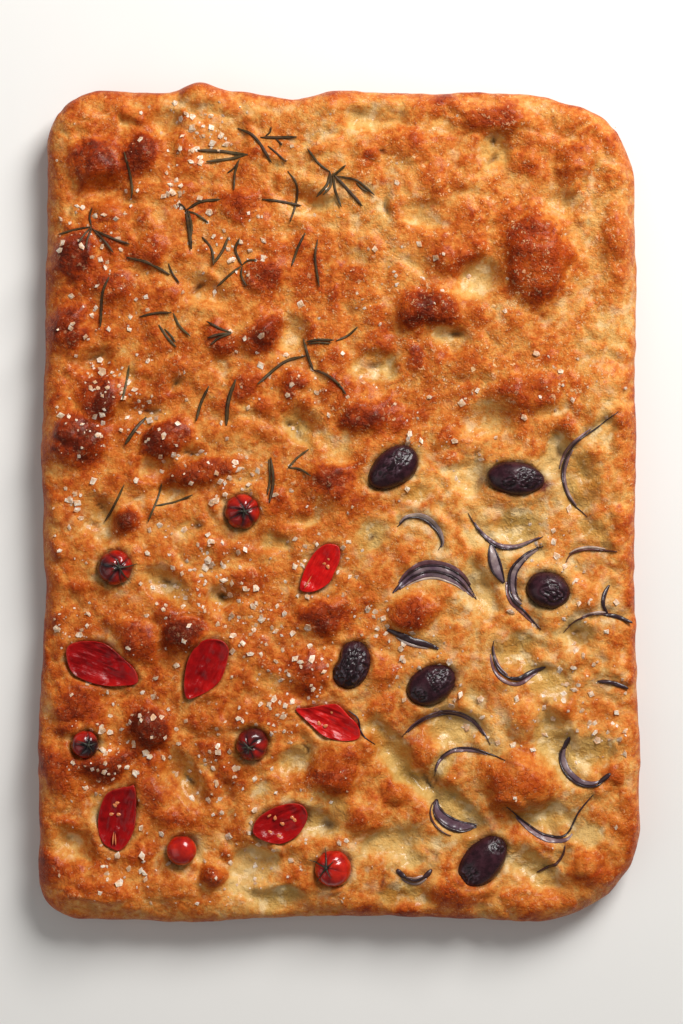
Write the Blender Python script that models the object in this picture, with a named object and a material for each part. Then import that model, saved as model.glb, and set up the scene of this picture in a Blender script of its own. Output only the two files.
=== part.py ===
"""A sheet-pan focaccia topped with olives, small whole tomatoes, tomato halves and red onion.

All sizes and places below are in millimetres, and the model is built in metres. The slab lies
flat with its underside at Z = 0 and its long side along Y. Plan places are measured from near
the middle of the slab, and the whole model is then moved to centre its bounding box on Z.
"""

import math

import bmesh
import bpy
import numpy as np
from mathutils import Matrix, Vector

MM = 0.001

# ---------------------------------------------------------------- the slab's driving dimensions

# Corners of the plan, anticlockwise from the lower left: x, y and corner radius.
CORNERS = (
    (-146, -202.5, 19),
    (146, -202.5, 46),
    (142, 198, 46),
    (-142, 199, 27),
)
# Places where the edge swells out (or in, if negative): x, y, how far, and over what half-width.
EDGE_SWELLS = (
    (-67, 199, 4.0, 13),
    (-25, 199, -3.5, 14),
    (110, 196, -2.5, 14),
    (-143, 30, 1.5, 22),
    (-144, -40, -1.8, 12),
    (-145, -118, 1.6, 26),
    (-80, -202, 2.2, 22),
    (20, -202, -1.6, 34),
    (92, -202, 2.0, 20),
    (143, 100, 1.0, 25),
    (144, -30, -1.2, 30),
)
LEVEL_HEIGHT = 22.0     # height of the top where it is level
MOST_RISE = 9.5         # no blister rises further than this above that
MOST_FALL = 11.0        # and no dimple falls further
MOUND_REACH = 1.35      # a blister or dimple fades out at this many times its half-size
# Broad waves of the top: height, then turns per millimetre along X and Y, and phase.
WAVES = ((0.9, 0.0072, 0.0060, 0.9), (0.6, 0.0143, -0.0095, 0.0))
EDGE_ROUND = 10.0       # how far the top edge rolls over, inwards and downwards
GRID_ACROSS = 24        # cells of the top across X
GRID_ALONG = 34         # and along Y

# Rolling over the edge: how far round the quarter turn each loop of points lies, in degrees.
ROLL_TURNS = (38, 66, 90)
# Down the wall: each loop's distance out from the plan, and its height.
WALL_LOOPS = ((-0.6, 5.0), (-3.5, 0.0))

# ---------------------------------------------------------------- blisters and dimples
# Each row: x, y, half-length, half-width, heading of the length in degrees, height or depth.

BLISTERS = (
    (-120, 163, 13, 12, 0, 5.5), (-97, 166, 10, 9, 0, 4.0), (-66, 197, 10, 8, 0, 4.0),
    (77, 184, 20, 8, 0, 4.5), (115, 164, 12, 10, 30, 4.0), (35, 172, 10, 8, 0, 3.5),
    (-128, 118, 13, 11, 80, 5.0), (-110, 103, 11, 9, 0, 4.0), (-92, 120, 10, 8, 0, 3.5),
    (-50, 143, 11, 8, 0, 4.0), (-35, 110, 12, 9, 0, 4.5), (90, 117, 26, 14, 90, 6.5),
    (134, 125, 22, 8, 90, 4.0), (34, 91, 11, 10, 0, 6.0), (49, 92, 11, 10, 0, 6.0),
    (-38, 82, 12, 11, 0, 5.0), (-57, 78, 11, 8, 0, 4.0), (-130, 83, 11, 12, 0, 5.0),
    (-116, 49, 11, 9, 40, 4.5), (-128, 29, 14, 15, 0, 6.5), (-83, 29, 13, 10, 15, 5.5),
    (-66, 14, 22, 8, 8, 4.0), (-6, 9, 12, 13, 0, 5.0), (12, 42, 12, 10, 0, 4.5),
    (89, 53, 16, 10, 0, 5.0), (-103, -10, 8, 7, 0, 4.0), (-77, -65, 11, 9, 0, 5.5),
    (-100, -66, 18, 7, -40, 4.5), (-10, -57, 10, 12, 70, 4.0), (35, -54, 15, 9, 0, 5.0),
    (-16, -83, 11, 9, 0, 4.0), (-93, -109, 12, 11, 0, 6.0), (-130, -97, 13, 9, 20, 4.0),
    (-114, -127, 13, 8, 10, 4.5), (-134, -130, 10, 12, 0, 4.0), (-3, -130, 13, 12, 0, 5.5),
    (84, -136, 18, 16, -30, 7.5), (89, -106, 10, 9, 0, 4.0), (12, -152, 11, 8, 0, 4.0),
    (-90, -142, 16, 8, -60, 4.0), (-61, -180, 7, 7, 0, 4.5), (-120, -187, 20, 10, -8, 4.5),
    (-81, -186, 13, 8, 0, 4.0), (118, -176, 10, 8, 0, 4.0), (124, -60, 18, 9, 80, 3.5),
    (60, -187, 16, 8, 0, 3.5), (126, 50, 14, 10, 80, 3.0),
)
DIMPLES = (
    (-85, 182, 9, 7, 0, 5.0), (-110, 149, 12, 6, -20, 5.0), (-66, 101, 14, 7, -20, 5.5),
    (-18, 145, 14, 7, -25, 5.5), (15, 184, 16, 7, 0, 4.0), (76, 169, 7, 8, 0, 5.0),
    (40, 137, 11, 8, 0, 4.5), (66, 107, 11, 10, 0, 6.5), (107, 142, 10, 7, 0, 5.0),
    (54, 76, 9, 7, 30, 5.5), (-23, 80, 8, 9, 0, 6.0), (-119, 67, 11, 6, 20, 5.5),
    (-100, 42, 12, 6, 20, 5.5), (-89, 15, 9, 6, 10, 5.0), (-19, 37, 10, 8, -40, 6.5),
    (18, 66, 11, 7, 0, 5.0), (71, 38, 14, 8, 0, 6.5), (104, 22, 7, 14, -15, 6.0),
    (116, 8, 8, 17, 0, 4.0), (-84, 4, 11, 6, 10, 5.5), (-116, -10, 9, 14, 20, 6.5),
    (63, 12, 9, 10, 0, 5.0), (84, -14, 13, 7, 0, 5.0), (-84, -42, 13, 8, -40, 6.0),
    (-56, -47, 8, 6, 0, 7.0), (68, -42, 8, 15, 25, 6.5), (86, -74, 12, 10, 0, 5.5),
    (102, -88, 14, 8, -35, 5.0), (53, -110, 16, 9, 0, 6.0), (105, -118, 9, 20, 25, 6.0),
    (122, -124, 10, 9, 0, 6.0), (50, -144, 28, 7, -38, 7.0), (26, -122, 22, 7, -52, 6.5),
    (-75, -134, 18, 7, -55, 7.0), (-22, -127, 12, 7, 10, 5.0), (-12, -155, 11, 7, 0, 5.5),
    (-43, -175, 13, 10, 0, 6.5), (98, -153, 16, 9, 0, 5.5), (94, -179, 18, 7, -38, 6.0),
    (-128, -166, 12, 6, -40, 5.5), (25, -165, 18, 8, 5, 5.0), (32, -190, 14, 7, 0, 4.0),
    (116, -66, 10, 7, 0, 5.0), (-30, -193, 14, 6, 0, 4.0),
)

# ---------------------------------------------------------------- toppings
# x, y, length, width, heading of the length in degrees, and how much narrower one end is.
OLIVES = (
    (25.5, 16, 27, 18, 35, 0.10),
    (84.6, 11, 28, 16, -5, 0.04),
    (100.4, -43, 21.5, 17.5, -20, 0.0),
    (5.3, -79, 24, 18.5, 70, 0.06),
    (44, -88.5, 25, 18.5, 30, 0.05),
    (68.6, -174, 29.5, 19, 48, 0.0),
)
OLIVE_HEIGHT = 0.82         # of its width
OLIVE_PROUD = 7.0           # how far its top stands above the crust

# x and y, width, and how far the crown is turned towards each side, in degrees about X and Y.
TOMATOES = (
    (-47.3, -5, 17.0, 4, 6),
    (-108.4, -32, 17.5, -6, 22),
    (-122.7, -117, 13.5, -18, 16),
    (-42.2, -117, 16.0, 8, -22),
    (-76.3, -168, 14.5, 60, 50),
    (-3.4, -177, 18.0, 6, -34),
)
TOMATO_HEIGHT = 0.86        # of its width
TOMATO_PROUD = 8.0

# x, y, length, width, heading, and how pointed each end is, from 0, round, to 1, sharp.
TOMATO_HALVES = (
    (-9.6, -32, 25.5, 14.5, 60, 0.7, 0.5),
    (-114.7, -78, 36, 19.5, -20, 0.2, 0.9),
    (-64.3, -80.5, 32, 19, 65, 0.9, 0.1),
    (-4.8, -106.5, 32, 16.5, -25, 1.0, 0.2),
    (-107.5, -152, 35.5, 18.5, 80, 0.5, 0.7),
    (-29.2, -155, 28, 19, 22, 0.4, 0.2),
)
HALF_DEPTH = 8.5            # from the cut face to the bottom of the skin
HALF_PROUD = 2.2            # how far the cut face's rim stands above the crust
HALF_DISH = 2.0             # how far the cut face dips in its middle
# The skin under the cut face, level by level: its share of the plan, and of the depth.
HALF_SKIN = ((0.42, 1.0), (0.80, 0.72), (1.0, 0.30))
END_NARROWING = 0.45        # how much a fully pointed end pulls the sides of the lens in

# Red-onion slices: points that the slice runs through, then its greatest width.
ONIONS = (
    (((27.7, -12.3), (33, -8.2), (40, -9), (46, -13.7), (49, -20), (47.5, -23.7)), 3.0),
    (((25.5, -44.5), (36, -35.8), (46, -33.6), (57, -38), (66, -47.5)), 9.0),
    (((134, 43), (124, 35.5), (112, 26), (107.3, 13.5), (110.5, 2), (119.2, -7.7)), 3.2),
    (((62, -5.7), (68, -14.9), (76, -21.3), (85, -22), (98, -17)), 3.2),
    (((72.6, -25), (74.2, -30), (77, -37)), 4.4),
    (((98, -22), (89.5, -26.5), (83.8, -33), (82.6, -40), (84.3, -47), (89.5, -52.5), (97, -62)), 4.6),
    (((109, -29.8), (111.5, -25.8), (117.5, -23.5), (125, -23.7), (133.5, -24.4)), 2.6),
    (((108, -63.5), (114, -57.8), (122, -54.8), (131, -55), (141, -58.7)), 3.0),
    (((130, -40.5), (127.3, -45), (126.5, -50.3)), 2.8),
    (((22.7, -62), (34, -67.2), (47.5, -71.2)), 4.0),
    (((74.3, -67.5), (73.6, -73), (77, -82), (84.7, -86.2), (92, -83.2), (99.2, -80.2)), 3.4),
    (((124.3, -87), (130, -87.4), (139, -90.6)), 3.0),
    (((29.8, -113.6), (40, -105.6), (52, -102.6), (63, -105.8), (69, -112), (72.4, -117.5)), 3.2),
    (((45.7, -133), (47.5, -126), (54, -120.5), (64, -120), (79.5, -124.5)), 3.0),
    (((111, -114.2), (107.5, -122.5), (109.2, -130), (116, -135.8), (123.5, -136), (130, -131)), 3.8),
    (((80, -147.3), (88.8, -155), (99, -161.5), (109.3, -161.3), (115, -151), (122, -141.5)), 3.2),
    (((46.8, -144.5), (46.8, -149.5), (51, -154.3), (58, -157.3), (66, -157.3)), 5.4),
    (((27.3, -177.5), (31, -181.3), (36, -183), (41, -180.8), (44.3, -177.6)), 3.4),
    (((95.5, -179.7), (100, -177.5), (104.5, -175), (107.6, -171), (108.4, -166)), 2.4),
)
ONION_HEIGHT = 4.2          # of a slice's section, half of it sunk in the crust
ONION_TIP = 0.28            # width at a slice's ends, as a share of its greatest width
ONION_LIFT = 0.4            # the middle of a section lies this far above the crust
ONION_SPACING = 8.0         # about how far apart its sections are

BALL_SEGMENTS = 12          # round an olive or a tomato
BALL_RINGS = 6              # and from one pole to the other

GAP = 0.5                   # left between each topping and the crust
CUTTER_RISE = 14.0          # how far above the crust a slice's or half's cutter reaches

COLOURS = {
    "crust": (0.62, 0.33, 0.12),
    "olive": (0.055, 0.030, 0.040),
    "tomato": (0.45, 0.03, 0.015),
    "tomato_flesh": (0.50, 0.04, 0.02),
    "onion": (0.20, 0.12, 0.16),
}
ROUGHNESS = {"crust": 0.45, "olive": 0.3, "tomato": 0.25, "tomato_flesh": 0.3, "onion": 0.35}


# ---------------------------------------------------------------- the plan of the slab

def unit(vector):
    return vector / np.linalg.norm(vector)


def corner_arc(before, corner, after, radius, steps=24):
    """Points round a corner of this radius, anticlockwise, between two straight sides."""
    towards_before = unit(before - corner)
    towards_after = unit(after - corner)
    half = math.acos(towards_before @ towards_after) / 2
    centre = corner + unit(towards_before + towards_after) * radius / math.sin(half)
    start = corner + towards_before * radius / math.tan(half) - centre
    first = math.atan2(start[1], start[0])
    turns = first + (math.pi - 2 * half) * np.arange(steps + 1) / steps
    return centre + radius * np.column_stack((np.cos(turns), np.sin(turns)))


def plan_path():
    """The plan as a run of points once round and over its first corner again.

    It comes with its length up to each point, up to each corner's middle, and once round.
    """
    sharp = [np.array(corner[:2], float) for corner in CORNERS]
    arcs = []
    for i, corner in enumerate(CORNERS):
        arcs.append(corner_arc(sharp[i - 1], sharp[i], sharp[(i + 1) % len(sharp)], corner[2]))
    steps = len(arcs[0])
    path = np.vstack(arcs + [arcs[0]])
    lengths = np.append(0, np.cumsum(np.linalg.norm(np.diff(path, axis=0), axis=1)))
    middles = [lengths[i * steps + steps // 2] for i in range(len(arcs) + 1)]
    return path, lengths, middles, lengths[len(arcs) * steps]


PATH, PATH_LENGTHS, CORNER_MIDDLES, ONCE_ROUND = plan_path()
DIRECTION_STEP = 0.5    # the way the path runs at a point is read this far to each side of it


def on_path(distance):
    """The point of the smooth path this far along it, and the outward direction there."""
    places = []
    for offset in (0, -DIRECTION_STEP, DIRECTION_STEP):
        wrapped = (distance + offset) % ONCE_ROUND
        places.append([np.interp(wrapped, PATH_LENGTHS, PATH[:, k]) for k in (0, 1)])
    point, behind, ahead = np.array(places)
    along = unit(ahead - behind)
    return point, np.array((along[1], -along[0]))


def plan_point(around, outwards):
    """A point of the slab's plan. around counts corners, so 1.5 is halfway along the second side."""
    side = int(around)
    share = around - side
    distance = CORNER_MIDDLES[side] * (1 - share) + CORNER_MIDDLES[side + 1] * share
    point, outward = on_path(distance)
    for x, y, swell, reach in EDGE_SWELLS:
        nearness = np.linalg.norm(point - (x, y)) / reach
        outwards += swell * math.exp(-nearness**2)
    return point + outward * outwards


def top_point(across, along, inset):
    """A point of the top: across and along run from 0 to 1 over a patch between the four sides."""
    south = plan_point(across, -inset)
    east = plan_point(1 + along, -inset)
    north = plan_point(3 - across, -inset)
    west = plan_point((4 - along) % 4, -inset)
    corners = [plan_point(corner, -inset) for corner in range(4)]
    sides = (1 - along) * south + along * north + (1 - across) * west + across * east
    bilinear = (1 - across) * ((1 - along) * corners[0] + along * corners[3])
    bilinear = bilinear + across * ((1 - along) * corners[1] + along * corners[2])
    return sides - bilinear


# ---------------------------------------------------------------- the height of the crust

def mound(x, y, row):
    """How much of a blister or dimple is felt at a point, from 0 outside it to 1 at its middle."""
    centre_x, centre_y, half_length, half_width, heading = row[:5]
    turn = math.radians(heading)
    along = (x - centre_x) * math.cos(turn) + (y - centre_y) * math.sin(turn)
    aside = (y - centre_y) * math.cos(turn) - (x - centre_x) * math.sin(turn)
    far = (along / half_length) ** 2 + (aside / half_width) ** 2
    return max(0.0, 1 - far / MOUND_REACH**2) ** 2


def crust_height(x, y):
    """The height of the top of the crust over a point of the plan, before its edge rolls over."""
    change = sum(row[5] * mound(x, y, row) for row in BLISTERS)
    change -= sum(row[5] * mound(x, y, row) for row in DIMPLES)
    for height, turns_x, turns_y, phase in WAVES:
        change += height * math.sin(2 * math.pi * (turns_x * x + turns_y * y) + phase)
    limit = MOST_RISE if change > 0 else MOST_FALL
    return LEVEL_HEIGHT + limit * math.tanh(change / limit)


# ---------------------------------------------------------------- building helpers

def clear_scene():
    for obj in list(bpy.data.objects):
        bpy.data.objects.remove(obj, do_unlink=True)


def collection(name, hidden=False):
    made = bpy.data.collections.new(name)
    made.hide_render = hidden
    bpy.context.scene.collection.children.link(made)
    return made


def material(name):
    made = bpy.data.materials.new(name)
    made.use_nodes = True
    shader = made.node_tree.nodes["Principled BSDF"]
    shader.inputs["Base Color"].default_value = (*COLOURS[name], 1)
    shader.inputs["Roughness"].default_value = ROUGHNESS[name]
    shader.inputs["Metallic"].default_value = 0
    return made


def add_object(name, bm, into, finish=None):
    """Makes an object of a mesh given in millimetres, with its faces turned outwards.

    A topping and its cutter are split into triangles alike, so their faces stay parallel.
    """
    bmesh.ops.recalc_face_normals(bm, faces=bm.faces)
    bmesh.ops.triangulate(bm, faces=bm.faces, quad_method="FIXED")
    bmesh.ops.scale(bm, vec=(MM, MM, MM), verts=bm.verts)
    mesh = bpy.data.meshes.new(name)
    bm.to_mesh(mesh)
    bm.free()
    obj = bpy.data.objects.new(name, mesh)
    into.objects.link(obj)
    if finish:
        mesh.materials.append(finish)
        mesh.shade_smooth()
        mesh.set_sharp_from_angle(angle=math.radians(40))
    else:
        obj.hide_render = True
        obj.display_type = "WIRE"
    return obj


def loft(rings, high=None):
    """A closed skin over rings of points, each joined to the next, flat at its ends or with a tip."""
    bm = bmesh.new()
    loops = [[bm.verts.new(point) for point in ring] for ring in rings]
    for lower, upper in zip(loops, loops[1:]):
        for i in range(len(lower)):
            bm.faces.new((lower[i - 1], lower[i], upper[i], upper[i - 1]))
    bm.faces.new(loops[0])
    if high is None:
        bm.faces.new(loops[-1])
        return bm
    tip = bm.verts.new(high)
    for i in range(len(loops[-1])):
        bm.faces.new((loops[-1][i - 1], loops[-1][i], tip))
    return bm


# ---------------------------------------------------------------- the crust

def crust_mesh():
    """A patch over the plan at the crust's height, rolled over its edge and closed underneath."""
    bm = bmesh.new()
    bmesh.ops.create_grid(bm, x_segments=GRID_ACROSS, y_segments=GRID_ALONG, size=0.5)
    around_layer = bm.verts.layers.float.new("around")
    for vert in bm.verts:
        across, along = vert.co.x + 0.5, vert.co.y + 0.5
        vert[around_layer] = place_around(across, along)
        x, y = top_point(across, along, EDGE_ROUND)
        vert.co = Vector((x, y, crust_height(x, y)))
    for turn in ROLL_TURNS:
        angle = math.radians(turn)
        inset = EDGE_ROUND * (1 - math.sin(angle))
        drop = EDGE_ROUND * (1 - math.cos(angle))
        add_loop(bm, around_layer, -inset, lambda x, y, drop=drop: crust_height(x, y) - drop)
    for outwards, height in WALL_LOOPS:
        add_loop(bm, around_layer, outwards, lambda x, y, height=height: height)
    bmesh.ops.holes_fill(bm, edges=[edge for edge in bm.edges if edge.is_boundary], sides=0)
    return bm


def place_around(across, along):
    """Where a point on the patch's border falls on the way round the plan, counted in corners."""
    if along < 1e-4:
        return across
    if across > 1 - 1e-4:
        return 1 + along
    if along > 1 - 1e-4:
        return 3 - across
    return (4 - along) % 4


def add_loop(bm, around_layer, outwards, height_at):
    """Adds a loop of faces outside the open border, whose new points lie at this place and height."""
    border = [edge for edge in bm.edges if edge.is_boundary]
    made = bmesh.ops.extrude_edge_only(bm, edges=border)
    for vert in made["geom"]:
        if isinstance(vert, bmesh.types.BMVert):
            x, y = plan_point(vert[around_layer], outwards)
            vert.co = Vector((x, y, height_at(x, y)))


# ---------------------------------------------------------------- the toppings

def olive_mesh(x, y, length, width, heading, taper, grow=0.0):
    """A ball stretched along its heading, a little narrower at its far end."""
    bm = bmesh.new()
    bmesh.ops.create_uvsphere(bm, u_segments=BALL_SEGMENTS, v_segments=BALL_RINGS, radius=1)
    bmesh.ops.rotate(bm, matrix=Matrix.Rotation(math.radians(90), 3, "Y"), verts=bm.verts)
    half_height = OLIVE_HEIGHT * width / 2
    for vert in bm.verts:
        narrowing = 1 - taper * vert.co.x
        vert.co.x *= length / 2 + grow
        vert.co.y *= width / 2 * narrowing + grow
        vert.co.z *= half_height * narrowing + grow
    middle = crust_height(x, y) + OLIVE_PROUD - half_height
    place(bm, x, y, middle, heading)
    return bm


def tomato_mesh(x, y, width, tilt_x, tilt_y, grow=0.0):
    """A slightly flat ball, dented at the crown where its stalk was."""
    bm = bmesh.new()
    bmesh.ops.create_uvsphere(bm, u_segments=BALL_SEGMENTS, v_segments=BALL_RINGS, radius=1)
    half_height = TOMATO_HEIGHT * width / 2
    dent = 0.0 if grow else 0.09
    for vert in bm.verts:
        across = math.hypot(vert.co.x, vert.co.y)
        sunk = dent * max(0.0, 1 - across / 0.5) if vert.co.z > 0 else 0.0
        vert.co.z = (vert.co.z - sunk) * (half_height + grow)
        vert.co.x *= width / 2 + grow
        vert.co.y *= width / 2 + grow
    lean = Matrix.Rotation(math.radians(tilt_x), 3, "X") @ Matrix.Rotation(math.radians(tilt_y), 3, "Y")
    bmesh.ops.rotate(bm, matrix=lean, verts=bm.verts)
    place(bm, x, y, crust_height(x, y) + TOMATO_PROUD - half_height, 0)
    return bm


def lens_ring(length, width, blunt_end, sharp_end, z, grow, steps=14):
    """A ring shaped like a lens: widest at its middle, with each end as pointed as it says."""
    ring = []
    for i in range(steps):
        turn = 2 * math.pi * i / steps
        along = math.cos(turn)
        point = blunt_end if along < 0 else sharp_end
        narrow = 1 - END_NARROWING * point * along**2
        x = (length / 2 + grow) * along
        ring.append((x, (width / 2 * narrow + grow) * math.sin(turn), z))
    return ring


def half_mesh(x, y, length, width, heading, start_point, end_point, grow=0.0):
    """Half a small tomato with its cut face up: a dished lens over a boat-shaped skin."""
    def level(share, z):
        return lens_ring(length * share, width * share, start_point, end_point, z, grow)

    rings = [level(share, HALF_PROUD - deep * HALF_DEPTH) for share, deep in HALF_SKIN]
    if grow:
        rings[0] = [(px, py, pz - grow) for px, py, pz in rings[0]]
        rings.append(level(0.97, CUTTER_RISE))
        bm = loft(rings)
    else:
        rings.append(level(0.97, HALF_PROUD))
        rings.append(level(0.78, HALF_PROUD - 0.8 * HALF_DISH))
        bm = loft(rings, high=(0, 0, HALF_PROUD - HALF_DISH))
    place(bm, x, y, crust_height(x, y), heading)
    return bm


def smooth_route(points, spacing, steps_between=12):
    """Points evenly spaced on a smooth curve through the given ones."""
    knots = np.array(points, float)
    knots = np.vstack((2 * knots[0] - knots[1], knots, 2 * knots[-1] - knots[-2]))
    t = np.arange(steps_between)[:, None] / steps_between
    dense = []
    for a, b, c, d in zip(knots, knots[1:], knots[2:], knots[3:]):
        dense.append(b + t / 2 * (c - a + t * (2 * a - 5 * b + 4 * c - d + t * (3 * b - a - 3 * c + d))))
    dense = np.vstack(dense + [knots[-2:-1]])
    lengths = np.append(0, np.cumsum(np.linalg.norm(np.diff(dense, axis=0), axis=1)))
    at = np.linspace(0, lengths[-1], max(4, round(lengths[-1] / spacing)) + 1)
    return np.column_stack([np.interp(at, lengths, dense[:, k]) for k in (0, 1)])


def onion_mesh(points, width, grow=0.0):
    """A thin slice that lies along a curve and tapers to both ends, diamond-shaped in section."""
    route = smooth_route(points, ONION_SPACING)
    rings = []
    for i, (x, y) in enumerate(route):
        ahead = route[min(i + 1, len(route) - 1)]
        behind = route[max(i - 1, 0)]
        along = Vector((ahead[0] - behind[0], ahead[1] - behind[1], 0)).normalized()
        aside = Vector((-along.y, along.x, 0))
        fullness = ONION_TIP + (1 - ONION_TIP) * math.sin(math.pi * i / (len(route) - 1))
        half_width = width / 2 * fullness + grow
        half_height = ONION_HEIGHT / 2 * (0.55 + 0.45 * fullness) + grow
        ends = grow * ((i == len(route) - 1) - (i == 0))
        middle = Vector((x, y, crust_height(x, y) + ONION_LIFT)) + along * ends
        rise = CUTTER_RISE if grow else half_height
        rings.append((
            middle - aside * half_width,
            middle - Vector((0, 0, half_height)),
            middle + aside * half_width,
            middle + Vector((0, 0, rise)),
        ))
    return loft(rings)


def place(bm, x, y, z, heading):
    bmesh.ops.rotate(bm, matrix=Matrix.Rotation(math.radians(heading), 3, "Z"), verts=bm.verts)
    bmesh.ops.translate(bm, vec=(x, y, z), verts=bm.verts)


# ---------------------------------------------------------------- assembly

def add_toppings(parts, cutters):
    """Each topping, and a cutter of its shape, larger by the gap, for its socket in the crust."""
    kinds = (
        ("olive", "olive", OLIVES, olive_mesh),
        ("tomato", "tomato", TOMATOES, tomato_mesh),
        ("tomato_half", "tomato_flesh", TOMATO_HALVES, half_mesh),
        ("onion", "onion", ONIONS, onion_mesh),
    )
    for kind, finish, rows, shape in kinds:
        slot = material(finish)
        for number, row in enumerate(rows, 1):
            name = f"{kind}_{number:02d}"
            add_object(name, shape(*row), parts, slot)
            add_object(f"socket_{name}", shape(*row, grow=GAP), cutters)


def add_crust(parts, cutters):
    crust = add_object("bread", crust_mesh(), parts, material("crust"))
    cut = crust.modifiers.new("sockets", "BOOLEAN")
    cut.operation = "DIFFERENCE"
    cut.operand_type = "COLLECTION"
    cut.collection = cutters
    cut.solver = "EXACT"
    return crust


def centre_on_origin(crust):
    """Moves everything so that the middle of the slab's plan is on the Z axis."""
    corners = np.array([vert.co for vert in crust.data.vertices])
    middle = (corners.max(axis=0) + corners.min(axis=0)) / 2
    for obj in bpy.data.objects:
        obj.location = (-middle[0], -middle[1], 0)


def main():
    clear_scene()
    parts = collection("focaccia")
    cutters = collection("cutters", hidden=True)
    add_toppings(parts, cutters)
    centre_on_origin(add_crust(parts, cutters))


main()
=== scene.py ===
"""The looks of a sheet-pan focaccia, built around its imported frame.

Plan places and sizes are in millimetres, measured as the part's source measures them: +X to the
right, +Y along the slab and Z up from its underside. Each mesh is turned into metres when its
object is made. The toppings take their places and shapes from the frame's nodes.
"""

import math

import bmesh
import bpy
import numpy as np
from mathutils import Matrix, Vector


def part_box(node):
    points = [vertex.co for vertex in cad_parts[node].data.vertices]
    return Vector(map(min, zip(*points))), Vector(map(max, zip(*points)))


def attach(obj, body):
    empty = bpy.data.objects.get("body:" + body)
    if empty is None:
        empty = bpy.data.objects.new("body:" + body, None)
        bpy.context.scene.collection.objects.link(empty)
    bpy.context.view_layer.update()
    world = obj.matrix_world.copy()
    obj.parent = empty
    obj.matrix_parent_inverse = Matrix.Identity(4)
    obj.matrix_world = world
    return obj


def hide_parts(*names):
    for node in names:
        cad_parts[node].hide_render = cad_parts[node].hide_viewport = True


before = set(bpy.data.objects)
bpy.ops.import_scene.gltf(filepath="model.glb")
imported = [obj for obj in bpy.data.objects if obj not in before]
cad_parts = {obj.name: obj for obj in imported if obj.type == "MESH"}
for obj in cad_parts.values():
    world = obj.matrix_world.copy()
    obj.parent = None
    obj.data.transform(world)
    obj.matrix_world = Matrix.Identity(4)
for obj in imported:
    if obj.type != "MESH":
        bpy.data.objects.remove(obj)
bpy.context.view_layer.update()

MM = 0.001

# ---------------------------------------------------------------- the slab, as in the part's source

CORNERS = (
    (-146, -202.5, 19),
    (146, -202.5, 46),
    (142, 198, 46),
    (-142, 199, 27),
)
EDGE_SWELLS = (
    (-68, 199, 3.8, 9),
    (-25, 199, -3.5, 14),
    (110, 196, -2.5, 14),
    (-143, 30, 1.5, 22),
    (-144, -40, -1.8, 12),
    (-145, -118, 1.6, 26),
    (-80, -202, 2.2, 22),
    (20, -202, -1.6, 34),
    (92, -202, 2.0, 20),
    (143, 100, 1.0, 25),
    (144, -30, -1.2, 30),
)
LEVEL_HEIGHT = 22.0
MOST_RISE = 9.5
MOST_FALL = 11.0
MOUND_REACH = 1.35
WAVES = ((0.9, 0.0072, 0.0060, 0.9), (0.6, 0.0143, -0.0095, 0.0))
EDGE_ROUND = 10.0

# Blisters: x, y, half-length, half-width, heading, height, and how much browner the crust is there.
BLISTERS = (
    (-120, 163, 14, 12, 0, 5.5, 0.34), (-97, 166, 10, 9, 0, 4.0, 0.42), (-66, 197, 10, 8, 0, 4.0, 0.14),
    (77, 184, 20, 8, 0, 4.5, 0.30), (115, 164, 12, 10, 30, 4.0, 0.22), (35, 172, 10, 8, 0, 3.5, 0.20),
    (-128, 118, 13, 11, 80, 5.0, 0.42), (-110, 103, 11, 9, 0, 4.0, 0.32), (-92, 120, 10, 8, 0, 3.5, 0.28),
    (-50, 143, 11, 8, 0, 4.0, 0.36), (-35, 110, 12, 9, 0, 4.5, 0.36), (95, 118, 25, 17, 90, 8.0, 0.27),
    (134, 125, 22, 8, 90, 4.0, 0.25), (34, 91, 11, 10, 0, 6.0, 0.42), (49, 92, 11, 10, 0, 6.0, 0.42),
    (-38, 82, 12, 11, 0, 5.0, 0.46), (-57, 78, 11, 8, 0, 4.0, 0.36), (-130, 83, 11, 12, 0, 5.0, 0.40),
    (-116, 49, 11, 9, 40, 4.5, 0.42), (-128, 29, 14, 15, 0, 6.5, 0.46), (-83, 29, 13, 10, 15, 5.5, 0.46),
    (-66, 14, 22, 8, 8, 4.0, 0.36), (-6, 9, 12, 13, 0, 5.0, 0.38), (12, 42, 12, 10, 0, 4.5, 0.34),
    (89, 53, 16, 10, 0, 5.0, 0.24), (-103, -10, 8, 7, 0, 4.0, 0.38), (-77, -65, 11, 9, 0, 5.5, 0.38),
    (-100, -66, 18, 7, -40, 4.5, 0.30), (-10, -57, 10, 12, 70, 4.0, 0.38), (35, -54, 15, 9, 0, 5.0, 0.34),
    (-16, -83, 11, 9, 0, 4.0, 0.28), (-93, -109, 12, 11, 0, 6.0, 0.40), (-130, -97, 13, 9, 20, 4.0, 0.32),
    (-114, -127, 13, 8, 10, 4.5, 0.34), (-134, -130, 10, 12, 0, 4.0, 0.32), (-3, -130, 13, 12, 0, 5.5, 0.38),
    (85, -137, 19, 15.5, -20, 8.0, 0.25), (89, -106, 10, 9, 0, 4.0, 0.10), (12, -152, 11, 8, 0, 4.0, 0.26),
    (-90, -142, 16, 8, -60, 4.0, 0.14), (-61, -180, 7, 7, 0, 4.5, 0.34), (-120, -187, 20, 10, -8, 4.5, 0.12),
    (-81, -186, 13, 8, 0, 4.0, 0.12), (118, -176, 10, 8, 0, 4.0, 0.12), (124, -60, 18, 9, 80, 3.5, 0.05),
    (60, -187, 16, 8, 0, 3.5, 0.22), (126, 50, 14, 10, 80, 3.0, 0.0),
)
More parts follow.
